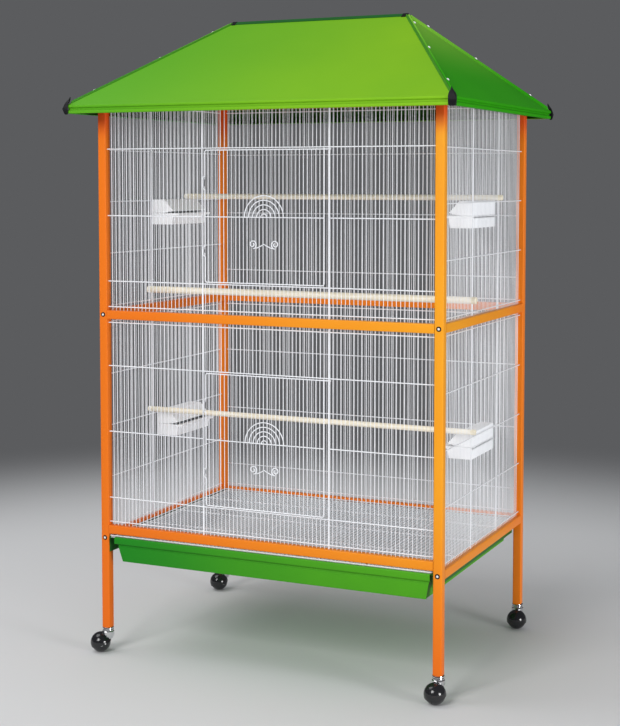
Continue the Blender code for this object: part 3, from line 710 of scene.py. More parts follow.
def wire_row(first, last, count, run, radius=UPRIGHT_WIRE):
    """The mesh of a row of equal wires, from the first one's start to the last one's."""
    first = Vector(first)
    step = (Vector(last) - first) / (count - 1)
    holder = new_object("row", bpy.data.meshes.new("row"))
    return with_tree(holder, row_tree, {
        "First": first, "Step": step, "Count": count, "Run": Vector(run), "Radius": radius,
        "Sides": 8, "Finish": white_powder,
    })


def bent_wires(paths, radius=WIRE, bend=0.0, sides=8):
    """The mesh of wires that follow the given lists of points."""
    points = []
    edges = []
    for path in paths:
        start = len(points)
        points.extend(tuple(point) for point in path)
        edges.extend((start + index, start + index + 1) for index in range(len(path) - 1))
    mesh = bpy.data.meshes.new("paths")
    mesh.from_pydata(points, edges, [])
    return with_tree(new_object("paths", mesh), bent_tree, {
        "Radius": radius, "Bend": bend, "Sides": sides, "Finish": white_powder,
    })

# %% [markdown]
# ## Wire walls
#
# A wall is a row of uprights that run into the rails above and below, and a few cross wires
# that run into the posts. Close to each rail the wall has one more cross wire, which leaves
# the row of small square gaps that the photograph shows along every rail. In the front walls
# the uprights are cut away at the door: short ones run from the rails to the lower and the
# upper cross wire, between two thicker uprights. The door hangs on one of these and closes
# against the other. In the side walls two thicker uprights carry the perches.

# %% Walls
BORDER_GAP = 0.009
INTO_RAIL = 0.0010
INTO_POST = 0.0008
HINGE_X = -0.168
CLOSING_X = 0.171
DOOR_STEPS = 15
LONG_STEPS = 40
SIDE_STEPS = 28
SIDE_UPRIGHTS = (-0.090, 0.115)


def wall_levels(wall, tier):
    kind = wall if wall in ("front", "rear") else "side"
    levels = CROSS_WIRES[(tier, kind)]
    if tier == "upper":
        return MID_RAIL[1], TOP_RAIL_BOTTOM, levels
    bottom = FRONT_BOTTOM_RAIL_TOP if wall == "front" else OTHER_BOTTOM_RAIL_TOP
    return bottom, MID_RAIL[0], levels


def upright_row(wall, first_step, last_step, low, high):
    pitch = FRONT_PITCH if wall in ("front", "rear") else SIDE_PITCH
    first = on_wall(wall, first_step * pitch, 0, low)
    last = on_wall(wall, last_step * pitch, 0, low)
    return wire_row(first, last, last_step - first_step + 1, (0, 0, high - low))


def cross_wires(wall, spans):
    """Wires along a wall; each span is its start, its end and its height."""
    return bent_wires([
        [on_wall(wall, start, CROSS_OUT, level), on_wall(wall, end, CROSS_OUT, level)]
        for start, end, level in spans
    ], radius=CROSS_WIRE)


def build_wall(wall, tier):
    bottom, top, levels = wall_levels(wall, tier)
    long_wall = wall in ("front", "rear")
    low = bottom - INTO_RAIL
    high = top + INTO_RAIL
    reach = (POST_X if long_wall else POST_Y) - TUBE / 2 + INTO_POST
    last = LONG_STEPS if long_wall else SIDE_STEPS
    cross = [bottom + BORDER_GAP, *levels, top - BORDER_GAP]
    if wall == "front":
        sill, middle, lintel = levels
        beside = DOOR_STEPS + 2
        thick = (HINGE_X, CLOSING_X)
        cross.remove(middle)
        meshes = [
            upright_row(wall, -last, -beside, low, high),
            upright_row(wall, beside, last, low, high),
            upright_row(wall, -DOOR_STEPS, DOOR_STEPS, low, sill),
            upright_row(wall, -DOOR_STEPS, DOOR_STEPS, lintel, high),
            cross_wires(wall, [(-reach, HINGE_X, middle), (CLOSING_X, reach, middle)]),
        ]
    else:
        thick = () if long_wall else SIDE_UPRIGHTS
        meshes = [upright_row(wall, -last, last, low, high)]
    meshes.append(cross_wires(wall, [(-reach, reach, level) for level in cross]))
    if thick:
        meshes.append(bent_wires([
            [on_wall(wall, along, 0, low), on_wall(wall, along, 0, high)] for along in thick
        ], radius=THICK_WIRE, sides=12))
    piece = gathered(f"wire_wall_{tier}_{wall}", meshes, white_powder)
    return settle(piece, "cage", "wire_coating", f"panel_{tier}_{wall}")


for tier in ("upper", "lower"):
    for wall in ("front", "rear", "left", "right"):
        built = build_wall(wall, tier)
        print(built.name, len(built.data.polygons), "faces")

# %% [markdown]
# ## Doors
#
# Each door is one bent frame wire with a row of uprights inside it. On the hinge side the
# frame wire makes two kinks, where it bends round the back of the wall's thick upright: that
# is the whole hinge. At the top the wire runs on past the door's edge and lies over the
# other upright, which stops the door when it is shut.
# The ornament sits on the middle cross wire: five nested arcs above it and, lower down, one
# wire rolled into a curl at each end.

# %% Door frame and hinge kinks
DOOR_LEFT = -0.158
DOOR_RIGHT = 0.160
DOOR_OUT = 0.0046
DOOR_FRONT = DOOR_OUT + CROSS_OUT
DOOR_WIRE = 0.0014
DOOR_BEND = 0.005
DOOR_CLEARANCE = 0.005
CATCH_X = 0.178
CATCH_RISE = 0.003
AXIS_OUT = -0.0014
KINK_RADIUS = 0.0053
KINK_DROP = 0.0012
KINK_START = -48
KINK_SWEEP = 138
KINK_STEPS = 5
UPPER_KINK = (0.098, 0.067)
LOWER_KINK = (-0.073, -0.096)


def round_the_hinge(start, end):
    """The kink: from the door's plane round the back of the wall's upright, down, and back."""
    turn = []
    for step in range(KINK_STEPS + 1):
        angle = radians(KINK_START + KINK_SWEEP * step / KINK_STEPS)
        turn.append((HINGE_X + KINK_RADIUS * cos(angle), AXIS_OUT - KINK_RADIUS * sin(angle)))
    inwards = [(along, out, start - KINK_DROP * (step + 1)) for step, (along, out) in enumerate(turn)]
    back = [(along, out, end + KINK_DROP * (step + 1)) for step, (along, out) in enumerate(turn)]
    return [(DOOR_LEFT, DOOR_OUT, start), *inwards, *reversed(back), (DOOR_LEFT, DOOR_OUT, end)]


def door_frame(sill, middle, lintel):
    top = lintel - DOOR_CLEARANCE
    bottom = sill + DOOR_CLEARANCE
    path = [(CATCH_X, DOOR_OUT, top), (DOOR_LEFT, DOOR_OUT, top)]
    for start, end in (UPPER_KINK, LOWER_KINK):
        path += round_the_hinge(middle + start, middle + end)
    path += [(DOOR_LEFT, DOOR_OUT, bottom), (DOOR_RIGHT, DOOR_OUT, bottom)]
    path.append((DOOR_RIGHT, DOOR_OUT, top + CATCH_RISE))
    return path

# %% Ornament
ARC_RADII = (0.008, 0.019, 0.030, 0.041, 0.052)
ORNAMENT_X = 0.003
ORNAMENT_WIRE = 0.00125
ORNAMENT_BASE = 0.058
ORNAMENT_BASE_OUT = DOOR_FRONT + 0.0012
SCROLL_DROP = 0.065
SCROLL_TURNS = 1.45
SCROLL_STEPS = 34
CURL_X = -0.030
CURL_RADII = (0.0026, 0.0110)


def ornament(middle):
    """Five arcs on the middle cross wire, and the short wire that they stand on."""
    paths = []
    for radius in ARC_RADII:
        steps = 14 + int(radius * 400)
        angles = [pi * step / steps for step in range(steps + 1)]
        paths.append([
            (ORNAMENT_X + radius * cos(angle), DOOR_FRONT, middle + radius * sin(angle)) for angle in angles
        ])
    paths.append([(ORNAMENT_X + side * ORNAMENT_BASE, ORNAMENT_BASE_OUT, middle) for side in (-1, 1)])
    return paths


def scroll(middle):
    """One wire: a curl, a shallow rise to a peak in the middle, and a curl back."""
    low = middle - SCROLL_DROP
    out = DOOR_OUT + WIRE + ORNAMENT_WIRE * 0.8
    half = []
    for step in range(SCROLL_STEPS + 1):
        along = step / SCROLL_STEPS
        angle = -pi / 2 + (1 - along) * SCROLL_TURNS * 2 * pi
        radius = CURL_RADII[0] + (CURL_RADII[1] - CURL_RADII[0]) * along
        half.append((CURL_X + radius * cos(angle), radius * sin(angle)))
    half += [(-0.018, -0.0085), (-0.008, -0.0040), (0.0, 0.0005)]
    left = [(ORNAMENT_X + x, out, low + z) for x, z in half]
    right = [(ORNAMENT_X - x, out, low + z) for x, z in reversed(half[:-1])]
    return left + right

# %% Doors
def on_door(path):
    return [on_wall("front", *point) for point in path]


def build_door(tier):
    sill, middle, lintel = CROSS_WIRES[(tier, "front")]
    last = DOOR_STEPS - 1
    foot = sill + DOOR_CLEARANCE
    ends = [on_wall("front", side * last * FRONT_PITCH, DOOR_OUT, foot) for side in (-1, 1)]
    meshes = [
        bent_wires([on_door(door_frame(sill, middle, lintel))], radius=DOOR_WIRE, bend=DOOR_BEND, sides=10),
        bent_wires([on_door([(DOOR_LEFT, DOOR_FRONT, middle), (DOOR_RIGHT, DOOR_FRONT, middle)])]),
        bent_wires([on_door(line) for line in ornament(middle)], radius=ORNAMENT_WIRE),
        bent_wires([on_door(scroll(middle))], radius=ORNAMENT_WIRE),
        wire_row(*ends, 2 * last + 1, (0, 0, lintel - sill - 2 * DOOR_CLEARANCE)),
    ]
    piece = gathered(f"wire_door_{tier}", meshes, white_powder)
    return settle(piece, f"door_{tier}", "wire_coating", f"door_{tier}")


for tier in ("upper", "lower"):
    print(build_door(tier).name)

# %% [markdown]
# ## Roof of folded sheet
#
# Each slope is one sheet with its fascia folded down along the eave, a groove pressed in the
# fascia and a lip folded in under it. The folds are drawn as a rounded profile, and every
# point of the profile runs to the hip, so the four sheets meet in clean mitres. A raised
# channel covers each hip on the end sheet, and its other edge lies on the long sheet as a
# narrow band painted darker green, which is painted shade along the hip. The end sheets are a
# darker, shaded copy of the long sheets' green, and every sheet's underside is dark green, as
# painted shade under the roof. The long sheets darken towards the left, also painted shade.

# %% Roof sizes
EAVE_X = 0.5064
EAVE_Y = 0.4024
EAVE_BOTTOM = 1.374
EAVE_TOP = 1.394
RIDGE_HALF = 0.2414
RIDGE_Z = 1.6255
RISE = RIDGE_Z - EAVE_TOP
END_RUN = EAVE_X - RIDGE_HALF
FRONT_SLOPE = RISE / EAVE_Y
END_SLOPE = RISE / END_RUN
ROOF_SHEET = 0.0009
MITRE_GAP = 0.0003
SHADOW_GAP = 0.0024
GROOVE = 0.0046
UNDER_RIDGE = 0.0012
NARROWEST = 0.0002
CHANNEL_ENDS = (0.022, 0.012)
FLANGE_ENDS = (0.016, 0.010)


def rounded_line(points, radius, steps=3):
    """A line whose inner corners are replaced by short arcs."""
    points = [Vector(point) for point in points]
    made = [points[0]]
    for before, corner, after in zip(points, points[1:], points[2:]):
        back = before - corner
        away = after - corner
        cut = min(radius, back.length * 0.45, away.length * 0.45)
        start = corner + back.normalized() * cut
        end = corner + away.normalized() * cut
        for step in range(steps + 1):
            t = step / steps
            made.append((1 - t) ** 2 * start + 2 * t * (1 - t) * corner + t ** 2 * end)
    made.append(points[-1])
    return made


def fascia_profile(run):
    """Distance inwards from the eave, and height, from the lip up to the ridge."""
    return rounded_line([
        (0.012, EAVE_BOTTOM), (0.0, EAVE_BOTTOM), (0.0, EAVE_BOTTOM + 0.0068),
        (GROOVE, EAVE_BOTTOM + 0.0090), (GROOVE, EAVE_BOTTOM + 0.0130),
        (0.0, EAVE_BOTTOM + 0.0150), (0.0, EAVE_TOP), (run * 0.5, (EAVE_TOP + RIDGE_Z) / 2),
        (run - UNDER_RIDGE, RIDGE_Z - RISE * UNDER_RIDGE / run),
    ], 0.0011)

# %% Roof sheets and hips
def roof_sheet(wall, finish):
    long_wall = wall in ("front", "rear")
    side = -1 if wall in ("front", "left") else 1
    run = EAVE_Y if long_wall else END_RUN
    columns = [2 * column / 8 - 1 for column in range(9)]
    rows = []
    for inset, up in fascia_profile(run):
        share = 1 - inset / run
        if long_wall:
            half = RIDGE_HALF + END_RUN * share - SHADOW_GAP
            rows.append([(half * column, side * EAVE_Y * share, up) for column in columns])
        else:
            half = max(EAVE_Y * share - MITRE_GAP, NARROWEST)
            out = side * (RIDGE_HALF + END_RUN * share)
            rows.append([(out, half * column, up) for column in columns])
    mesh = skinned("roof_sheet", rows, caps=(), closed=False, facing=(0, 0, 1))
    # The second finish, under the sheet, is the dark green of painted shade.
    return sharpened(thickened(mesh, ROOF_SHEET, finish, roof_underside_shade), 35)


def hip_axes(side_x, side_y, on_end_sheet):
    """The two ends of a hip, and the directions along it, across the sheet and out of it."""
    low = Vector((side_x * EAVE_X, side_y * EAVE_Y, EAVE_TOP))
    high = Vector((side_x * RIDGE_HALF, 0, RIDGE_Z))
    out = Vector((side_x * END_SLOPE, 0, 1) if on_end_sheet else (0, side_y * FRONT_SLOPE, 1)).normalized()
    along = (high - low).normalized()
    across = out.cross(along).normalized()
    leaves_sheet = (across.y * side_y if on_end_sheet else across.x * side_x) > 0
    return low, high, along, -across if leaves_sheet else across, out


def hip_strip(side_x, side_y, on_end_sheet, section, start, stop):
    """A folded strip along one hip, from a start above its foot to a stop below its top."""
    low, high, along, across, out = hip_axes(side_x, side_y, on_end_sheet)
    length = (high - low).length
    # On the long sheet the flange takes the darker green of painted shade.
    return sharpened(skinned("hip_strip", [
        [low + along * distance + across * point.x + out * point.y for point in section]
        for distance in (start, 0.30 * length, 0.65 * length, length - stop)
    ]), 40, None if on_end_sheet else hip_flange_shade)


CHANNEL = rounded_line([
    (0.0006, -0.0004), (0.0010, 0.0046), (0.0034, 0.0052), (0.0130, 0.0006), (0.0130, -0.0004),
], 0.0016)
FLANGE = rounded_line([
    (-0.0006, -0.0004), (-0.0002, 0.0034), (0.0012, 0.0022), (0.0042, 0.0018), (0.0052, -0.0004),
], 0.0008)

for wall in ("front", "rear", "left", "right"):
    # End sheets take the shaded copy of the green; the hip flanges take their painted shade.
    finish = roof_end_shaded_copy if wall in ("left", "right") else roof_enamel
    meshes = [roof_sheet(wall, finish)]
    if wall in ("left", "right"):
        side_x = -1 if wall == "left" else 1
        meshes += [hip_strip(side_x, side_y, True, CHANNEL, *CHANNEL_ENDS) for side_y in (-1, 1)]
        meshes += [hip_strip(side_x, side_y, False, FLANGE, *FLANGE_ENDS) for side_y in (-1, 1)]
    piece = gathered(f"roof_sheet_{wall}", meshes, finish, roof_underside_shade, hip_flange_shade)
    settle(piece, "cage", "roof_paint", f"roof_{wall}")
    print(piece.name, len(piece.data.polygons), "faces")

# %% [markdown]
# ## Ridge cap and the black corners
#
# The ridge cap is a darker strip folded over the top, closed by a small black block at each
# end. Each corner of the eave has a black plastic cap: it hugs the fascia, comes to a point
# outwards at half its height, and rises in a small peak over the foot of the hip channel.
# Both are a few outlines at rising distances, skinned together.

# %% Ridge cap
STRIP_END = RIDGE_HALF - 0.004
BLOCK_STEPS = ((-0.0075, 1.0), (0.0020, 1.0), (0.0055, 0.86))


def ridge_section(wing, lift):
    """The strip's section: up one wing, over the top and down the other."""
    foot = RIDGE_Z + lift - FRONT_SLOPE * wing
    return rounded_line([(-wing, foot), (0, RIDGE_Z + lift), (wing, foot)], 0.004, 5)


outline = ridge_section(0.0150, 0.0006) + ridge_section(0.0154, 0.0017)[::-1]
strip = skinned("ridge_strip", [
    [(x, point.x, point.y) for point in outline] for x in (-STRIP_END, STRIP_END)
], smooth=False)
strip.materials.append(ridge_enamel)
settle(new_object("ridge_strip", strip), "cage", "ridge_paint", "ridge_cap")

outline = ridge_section(0.0165, -0.0010) + ridge_section(0.0178, 0.0024)[::-1]
end_blocks = []
for side in (-1, 1):
    end_blocks.append(skinned("ridge_end", [
        [(side * (RIDGE_HALF + reach), point.x * scale, RIDGE_Z + (point.y - RIDGE_Z) * scale)
         for point in outline]
        for reach, scale in BLOCK_STEPS
    ], smooth=False))
settle(gathered("ridge_ends", end_blocks, black_plastic), "cage", "corner_plastic")
print("ridge strip and", len(end_blocks), "end blocks")

# %% Corner caps
# Each level: arm along the eave, skin over it, tip, inner corner, height, shift inwards.
CAP_LEVELS = (
    (0.0090, 0.0012, 0.0020, 0.002, 1.3715, 0.0),
    (0.0125, 0.0026, 0.0042, 0.002, 1.3745, 0.0),
    (0.0130, 0.0030, 0.0088, 0.002, 1.3850, 0.0),
    (0.0130, 0.0028, 0.0045, 0.002, 1.3945, 0.0),
    (0.0110, 0.0018, 0.0020, 0.006, 1.4010, 0.001),
    (0.0040, 0.0005, 0.0008, 0.004, 1.4090, 0.005),
    (0.0008, 0.0002, 0.0003, 0.001, 1.4150, 0.008),
)
CAP_BEVEL = 0.0006
CAP_SIZE = {("front", "left"): 0.70, ("rear", "left"): 0.55, ("front", "right"): 1.0, ("rear", "right"): 0.55}

for (y_name, x_name), size in CAP_SIZE.items():
    side_x = 1 if x_name == "right" else -1
    side_y = 1 if y_name == "rear" else -1
    sections = []
    for arm, skin, tip, inner, up, shift in CAP_LEVELS:
        reach = arm * size
        points = [(-reach, skin), (tip * size, tip * size), (skin, -reach), (-inner, -inner)]
        sections.append([
            (side_x * (EAVE_X - shift + x), side_y * (EAVE_Y - shift + y), up) for x, y in points
        ])
    cap = softened(skinned("corner", sections, smooth=False), CAP_BEVEL, 20)
    piece = gathered(f"corner_cap_moulding_{y_name}_{x_name}", [cap], black_plastic)
    settle(piece, "cage", "corner_plastic", f"corner_cap_{y_name}_{x_name}")
print("corner caps:", len(CAP_SIZE))

# %% [markdown]
# ## Screws and bolts
#
# Screws fix the hip channels, and bolts hold the posts to the side rails. A screw is always
# the same small shape, set on a point and turned to face out of its surface, so it is one
# tree: the points carry a direction, and each gets a washer with a domed head. The steel
# heads, and the screws' washers, get a pale finish as a painted highlight.

# %% Tree: fasteners
fastener_tree, node, given = new_tree("fasteners", "GeometryNodeTree", [
    ("Geometry", GEOMETRY), ("Washer Radius", NUMBER), ("Head Radius", NUMBER), ("Height", NUMBER),
    ("Washer Finish", MATERIAL), ("Head Finish", MATERIAL),
], [("Geometry", GEOMETRY)])
direction = node("GeometryNodeInputNamedAttribute", {"Name": "direction"}, data_type="FLOAT_VECTOR")
turn = node("FunctionNodeAlignRotationToVector", {"Vector": direction.outputs["Attribute"]}, axis="Z")
thickness = multiplied(fastener_tree, given["Height"], 0.4)
washer = node("GeometryNodeMeshCone", {
    "Vertices": 20, "Radius Bottom": given["Washer Radius"], "Depth": thickness,
    "Radius Top": multiplied(fastener_tree, given["Washer Radius"], 0.86),
})
head = node("GeometryNodeMeshUVSphere", {"Segments": 14, "Rings": 8, "Radius": given["Head Radius"]})
smooth = node("GeometryNodeSetShadeSmooth", {"Geometry": head.outputs["Mesh"]})
raised = node("ShaderNodeCombineXYZ", {"Z": thickness})
dome = node("GeometryNodeTransform", {
    "Geometry": smooth.outputs["Geometry"], "Translation": raised.outputs[0], "Scale": (1.0, 1.0, 0.45),
})
painted = []
for shape, finish in ((washer.outputs["Mesh"], "Washer Finish"), (dome.outputs["Geometry"], "Head Finish")):
    paint = node("GeometryNodeSetMaterial", {"Geometry": shape, "Material": given[finish]})
    painted.append(paint.outputs["Geometry"])
pair = node("GeometryNodeJoinGeometry", {0: painted})
copies = node("GeometryNodeInstanceOnPoints", {
    "Points": given["Geometry"], "Instance": pair.outputs[0], "Rotation": turn.outputs["Rotation"],
})
real = node("GeometryNodeRealizeInstances", {"Geometry": copies.outputs["Instances"]})
node("NodeGroupOutput", {"Geometry": real.outputs["Geometry"]})


def fasteners(name, places, washer_radius, head_radius, height, washer_finish, head_finish):
    mesh = bpy.data.meshes.new(name)
    mesh.from_pydata([tuple(point) for point, way in places], [], [])
    facing = mesh.attributes.new("direction", "FLOAT_VECTOR", "POINT")
    facing.data.foreach_set("vector", [value for point, way in places for value in way])
    made = with_tree(new_object(name + "_points", mesh), fastener_tree, {
        "Washer Radius": washer_radius, "Head Radius": head_radius, "Height": height,
        "Washer Finish": washer_finish, "Head Finish": head_finish,
    })
    made.name = name
    return settle(new_object(name, made), "cage", "caster_chrome")

# %% Bolts and screws
POST_FACE_Y = -0.3300
BOLT_HEIGHTS = (0.870, 0.298)
SCREW_SHARES = (0.17, 0.55, 0.87)
SCREW_IN = 0.0048
SCREW_OUT = 0.0054

bolt_places = [
    (Vector((x, POST_FACE_Y, z)), (0, -1, 0)) for x in (-POST_X, POST_X) for z in BOLT_HEIGHTS
]
# The bolt heads are a painted highlight.
fasteners("post_bolts", bolt_places, washer_radius=0.0062, head_radius=0.0030, height=0.0026,
          washer_finish=black_plastic, head_finish=bolt_painted_glint)

screw_places = []
for side_x in (-1, 1):
    for side_y in (-1, 1):
        low, high, along, across, out = hip_axes(side_x, side_y, True)
        for share in SCREW_SHARES:
            place = low + (high - low) * share + across * SCREW_IN + out * SCREW_OUT
            screw_places.append((place, out))
# The screw heads and washers are a painted highlight.
fasteners("roof_screws", screw_places, washer_radius=0.0042, head_radius=0.0030, height=0.0018,
          washer_finish=bolt_painted_glint, head_finish=bolt_painted_glint)
print("bolts", len(bolt_places), "screws", len(screw_places))

# %% [markdown]
# ## Grate, tray and runners
#
# The grate is again a row of wires, finer and closer than a wall, over three cross wires and
# four thicker bars, inside a border. The tray is a pan of folded sheet: the inside is a skin
# over rectangles, given the sheet's thickness, and its front carries a pressed panel with a
# bright top band, a groove and a leaning lower face. Its green has painted shade, darker
# towards its left end. The runners keep their CAD shape and get a dark green, darker than the
# tray's: partly their paint and partly painted shade under the side rails.

# %% Grate
GRATE_Z = 0.3045
GRATE_X = 0.4342
GRATE_FRONT = -0.3255
GRATE_REAR = 0.3015
GRATE_DEPTH = GRATE_REAR - GRATE_FRONT
GRATE_STEPS = 39
GRATE_BARS = (-0.268, -0.090, 0.090, 0.268)
GRATE_CROSS = (-0.160, 0.0, 0.170)
GRATE_BEND = 0.006
GRATE_BORDER_WIRE = 0.00145
GRATE_BAR_WIRE = 0.00165
GRATE_CROSS_WIRE = 0.0016
GRATE_CROSS_DROP = 0.0002
GRATE_WIRE = 0.0010
GRATE_WIRE_RISE = 0.0012

border = [
    (-GRATE_X, GRATE_FRONT, GRATE_Z), (GRATE_X, GRATE_FRONT, GRATE_Z), (GRATE_X, GRATE_REAR, GRATE_Z),
    (-GRATE_X, GRATE_REAR, GRATE_Z), (-GRATE_X, GRATE_FRONT, GRATE_Z),
]
bars = [[(x, GRATE_FRONT, GRATE_Z), (x, GRATE_REAR, GRATE_Z)] for x in GRATE_BARS]
cross = [[(side * GRATE_X, y, GRATE_Z - GRATE_CROSS_DROP) for side in (-1, 1)] for y in GRATE_CROSS]
ends = [(side * GRATE_STEPS * FRONT_PITCH, GRATE_FRONT, GRATE_Z + GRATE_WIRE_RISE) for side in (-1, 1)]
piece = gathered("grate_wires", [
    bent_wires([border], radius=GRATE_BORDER_WIRE, bend=GRATE_BEND, sides=10),
    bent_wires(bars, radius=GRATE_BAR_WIRE, sides=10),
    bent_wires(cross, radius=GRATE_CROSS_WIRE),
    wire_row(*ends, 2 * GRATE_STEPS + 1, (0, GRATE_DEPTH, 0), radius=GRATE_WIRE),
], white_powder)
settle(piece, "grate", "wire_coating", "grate")
print(piece.name, len(piece.data.polygons), "faces")

# %% Tray
TRAY_TOP = 0.3020
TRAY_BOTTOM = 0.2394
TRAY_FRONT = -0.3300
TRAY_REAR = 0.3000
TRAY_X = 0.4315
PAN_SHEET = 0.0010
FACE_SHEET = 0.0008
BAND_BOTTOM = 0.2848

# Each level of the pan: left, right, front, rear and height.
PAN_LEVELS = (
    (-0.3960, 0.4170, -0.3190, 0.2890, TRAY_BOTTOM + 0.0010),
    (-0.4180, 0.4245, -0.3230, 0.2930, TRAY_TOP - 0.0008),
    (-0.4190, 0.4252, -0.3238, 0.2938, TRAY_TOP),
    (-0.4308, 0.4308, -0.3290, 0.2992, TRAY_TOP),
    (-TRAY_X, TRAY_X, -0.3298, TRAY_REAR, TRAY_TOP - 0.0006),
)
pan = skinned("pan", [
    [(left, front, up), (right, front, up), (right, rear, up), (left, rear, up)]
    for left, right, front, rear, up in PAN_LEVELS
], caps=(0,), smooth=False, facing=(0, 0, 1))
pan = thickened(pan, PAN_SHEET, pan_enamel, tray_enamel)

LIP_ENDS = (-0.4190, 0.4315)
FACE_TOP_ENDS = (-0.4110, 0.4290)
FACE_BOTTOM_ENDS = (-0.3975, 0.4200)
LIP_LINE = rounded_line([
    (TRAY_FRONT + 0.0040, TRAY_TOP - 0.0004), (TRAY_FRONT + 0.0030, TRAY_TOP + 0.0004),
    (TRAY_FRONT - 0.0030, TRAY_TOP + 0.0002), (TRAY_FRONT - 0.0042, 0.2995),
    (TRAY_FRONT - 0.0042, 0.2868), (TRAY_FRONT - 0.0026, BAND_BOTTOM), (TRAY_FRONT + 0.0020, BAND_BOTTOM),
], 0.0012)
FACE_LINE = rounded_line([
    (TRAY_FRONT + 0.0020, 0.2846), (TRAY_FRONT + 0.0020, 0.2800), (TRAY_FRONT - 0.0004, 0.2784),
    (TRAY_FRONT + 0.0022, TRAY_BOTTOM + 0.0012), (TRAY_FRONT + 0.0085, TRAY_BOTTOM + 0.0004),
], 0.0012)


def front_panel(line, ends_at):
    """A strip of sheet across the front, whose ends follow a function of the height."""
    rows = []
    for y, z in line:
        left, right = ends_at(z)
        rows.append([(left + (right - left) * share, y, z) for share in (0, 0.33, 0.66, 1)])
    mesh = skinned("tray_front", rows, caps=(), closed=False, facing=(0, -1, 0))
    return sharpened(thickened(mesh, FACE_SHEET), 40, tray_enamel)


def face_ends(z):
    """The face narrows towards its bottom."""
    share = (BAND_BOTTOM - z) / (BAND_BOTTOM - TRAY_BOTTOM)
    return [top + (bottom - top) * share for top, bottom in zip(FACE_TOP_ENDS, FACE_BOTTOM_ENDS)]


front = [front_panel(LIP_LINE, lambda z: LIP_ENDS), front_panel(FACE_LINE, face_ends)]
piece = gathered("tray_pan", [pan, *front], tray_enamel, pan_enamel)
settle(piece, "tray", "tray_paint", "tray")
print(piece.name, len(piece.data.polygons), "faces")

# %% Runners
# Dark green, partly paint and partly painted shade under the side rails.
for name in ("runner_left", "runner_right"):
    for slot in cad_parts[name].material_slots:
        slot.material = runner_paint_and_shade
    print(name, "in", runner_paint_and_shade.name)

# %% [markdown]
# ## Feeders
#
# A feeder is two mouldings: a trough with a wide lip, and a hood that slopes down towards
# the bird. They are cut from solid outlines: the outer shape first, then the hollow taken
# out of it, because that keeps the wall even and leaves the opening between hood and lip. A
# small bevel then rounds every edge, as a mould does.

# %% Feeder
FEEDER_BACK = 0.44435
FEEDER_FRONT_Y = -0.072
FEEDER_REAR_Y = 0.104
FEEDER_HEIGHT = 0.066
FEEDER_WALL = 0.0020
FEEDER_BEVEL = 0.0009
FEEDER_TOPS = {"upper": 1.158, "lower": 0.590}
UPPER_LEFT_SHIFT = -0.018


def slab(name, outline, low, high):
    """A flat outline in X and Z, pushed along Y from low to high."""
    return skinned(name, [[(x, y, z) for x, z in outline] for y in (low, high)], smooth=False)


def feeder_meshes():
    """Trough, lip and hood, with the wall side at X = 0 and the bird's side towards +X."""
    low, high = FEEDER_FRONT_Y, FEEDER_REAR_Y
    wall = FEEDER_WALL
    roof = FEEDER_HEIGHT - wall
    # Each row: the outline, the outline of its hollow, and how far its ends pass the trough's.
    mouldings = {
        "trough": ([(0, 0), (0.0600, 0), (0.0635, 0.0290), (0, 0.0290)],
                   [(wall, wall), (0.0582, wall), (0.0628, 0.0400), (wall, 0.0400)], 0),
        "rim": ([(0, 0.0240), (0.0768, 0.0240), (0.0780, 0.0300), (0, 0.0300)],
                [(0.0010, 0.0200), (0.0612, 0.0200), (0.0618, 0.0400), (0.0010, 0.0400)], 0.0012),
        "hood": ([(0, 0.0306), (0.0350, 0.0306), (0.0620, 0.0365), (0.0615, 0.0385),
                  (0.0360, FEEDER_HEIGHT), (0, FEEDER_HEIGHT)],
                 [(wall, 0.0200), (0.0340, 0.0200), (0.0640, 0.0310), (0.0600, 0.0375),
                  (0.0350, roof), (wall, roof)], 0),
    }
    made = []
    for name, (outline, hollow, past) in mouldings.items():
        body = slab(name, outline, low - past, high + past)
        cut = carved(name, body, [slab("hollow", hollow, low + wall, high - wall)])
        made.append(softened(cut, FEEDER_BEVEL, 25))
    return made


feeder_parts = feeder_meshes()
centre = Matrix.Translation((0, (FEEDER_FRONT_Y + FEEDER_REAR_Y) / 2, 0))
for tier, top in FEEDER_TOPS.items():
    for side, x_name in ((-1, "left"), (1, "right")):
        turn = centre @ Matrix.Rotation(0 if side < 0 else pi, 4, "Z") @ centre.inverted()
        forward = UPPER_LEFT_SHIFT if (tier, x_name) == ("upper", "left") else 0
        shift = Matrix.Translation((side * FEEDER_BACK, forward, top - FEEDER_HEIGHT))
        placed = [mesh.copy() for mesh in feeder_parts]
        for mesh in placed:
            mesh.transform(shift @ turn)
        piece = gathered(f"hooded_feeder_{tier}_{x_name}", placed, feeder_plastic)
        settle(piece, f"feeder_{tier}_{x_name}", "feeder_plastic", f"feeder_{tier}_{x_name}")
        print(piece.name)

# %% [markdown]
# ## Perches
#
# A perch is a turned dowel with a slot sawn in each end, which slips over an upright of the
# side wall. The dowel is a short stack of rings that tapers a little at its ends; its grain
# comes from the wood group, stretched along the dowel.

# %% Perches
PERCH_END = 0.460
PERCH_SLOT = 0.0160
PERCH_SIDES = 28
SLOT_HALF = 0.0023
SLOT_TALL = 0.02
SLOT_PAST = 0.004
END_ROUNDING = 0.0012
PERCH_RADII = {"perch_upper_rear": 0.0073, "perch_upper_front": 0.0088, "perch_lower": 0.0070}


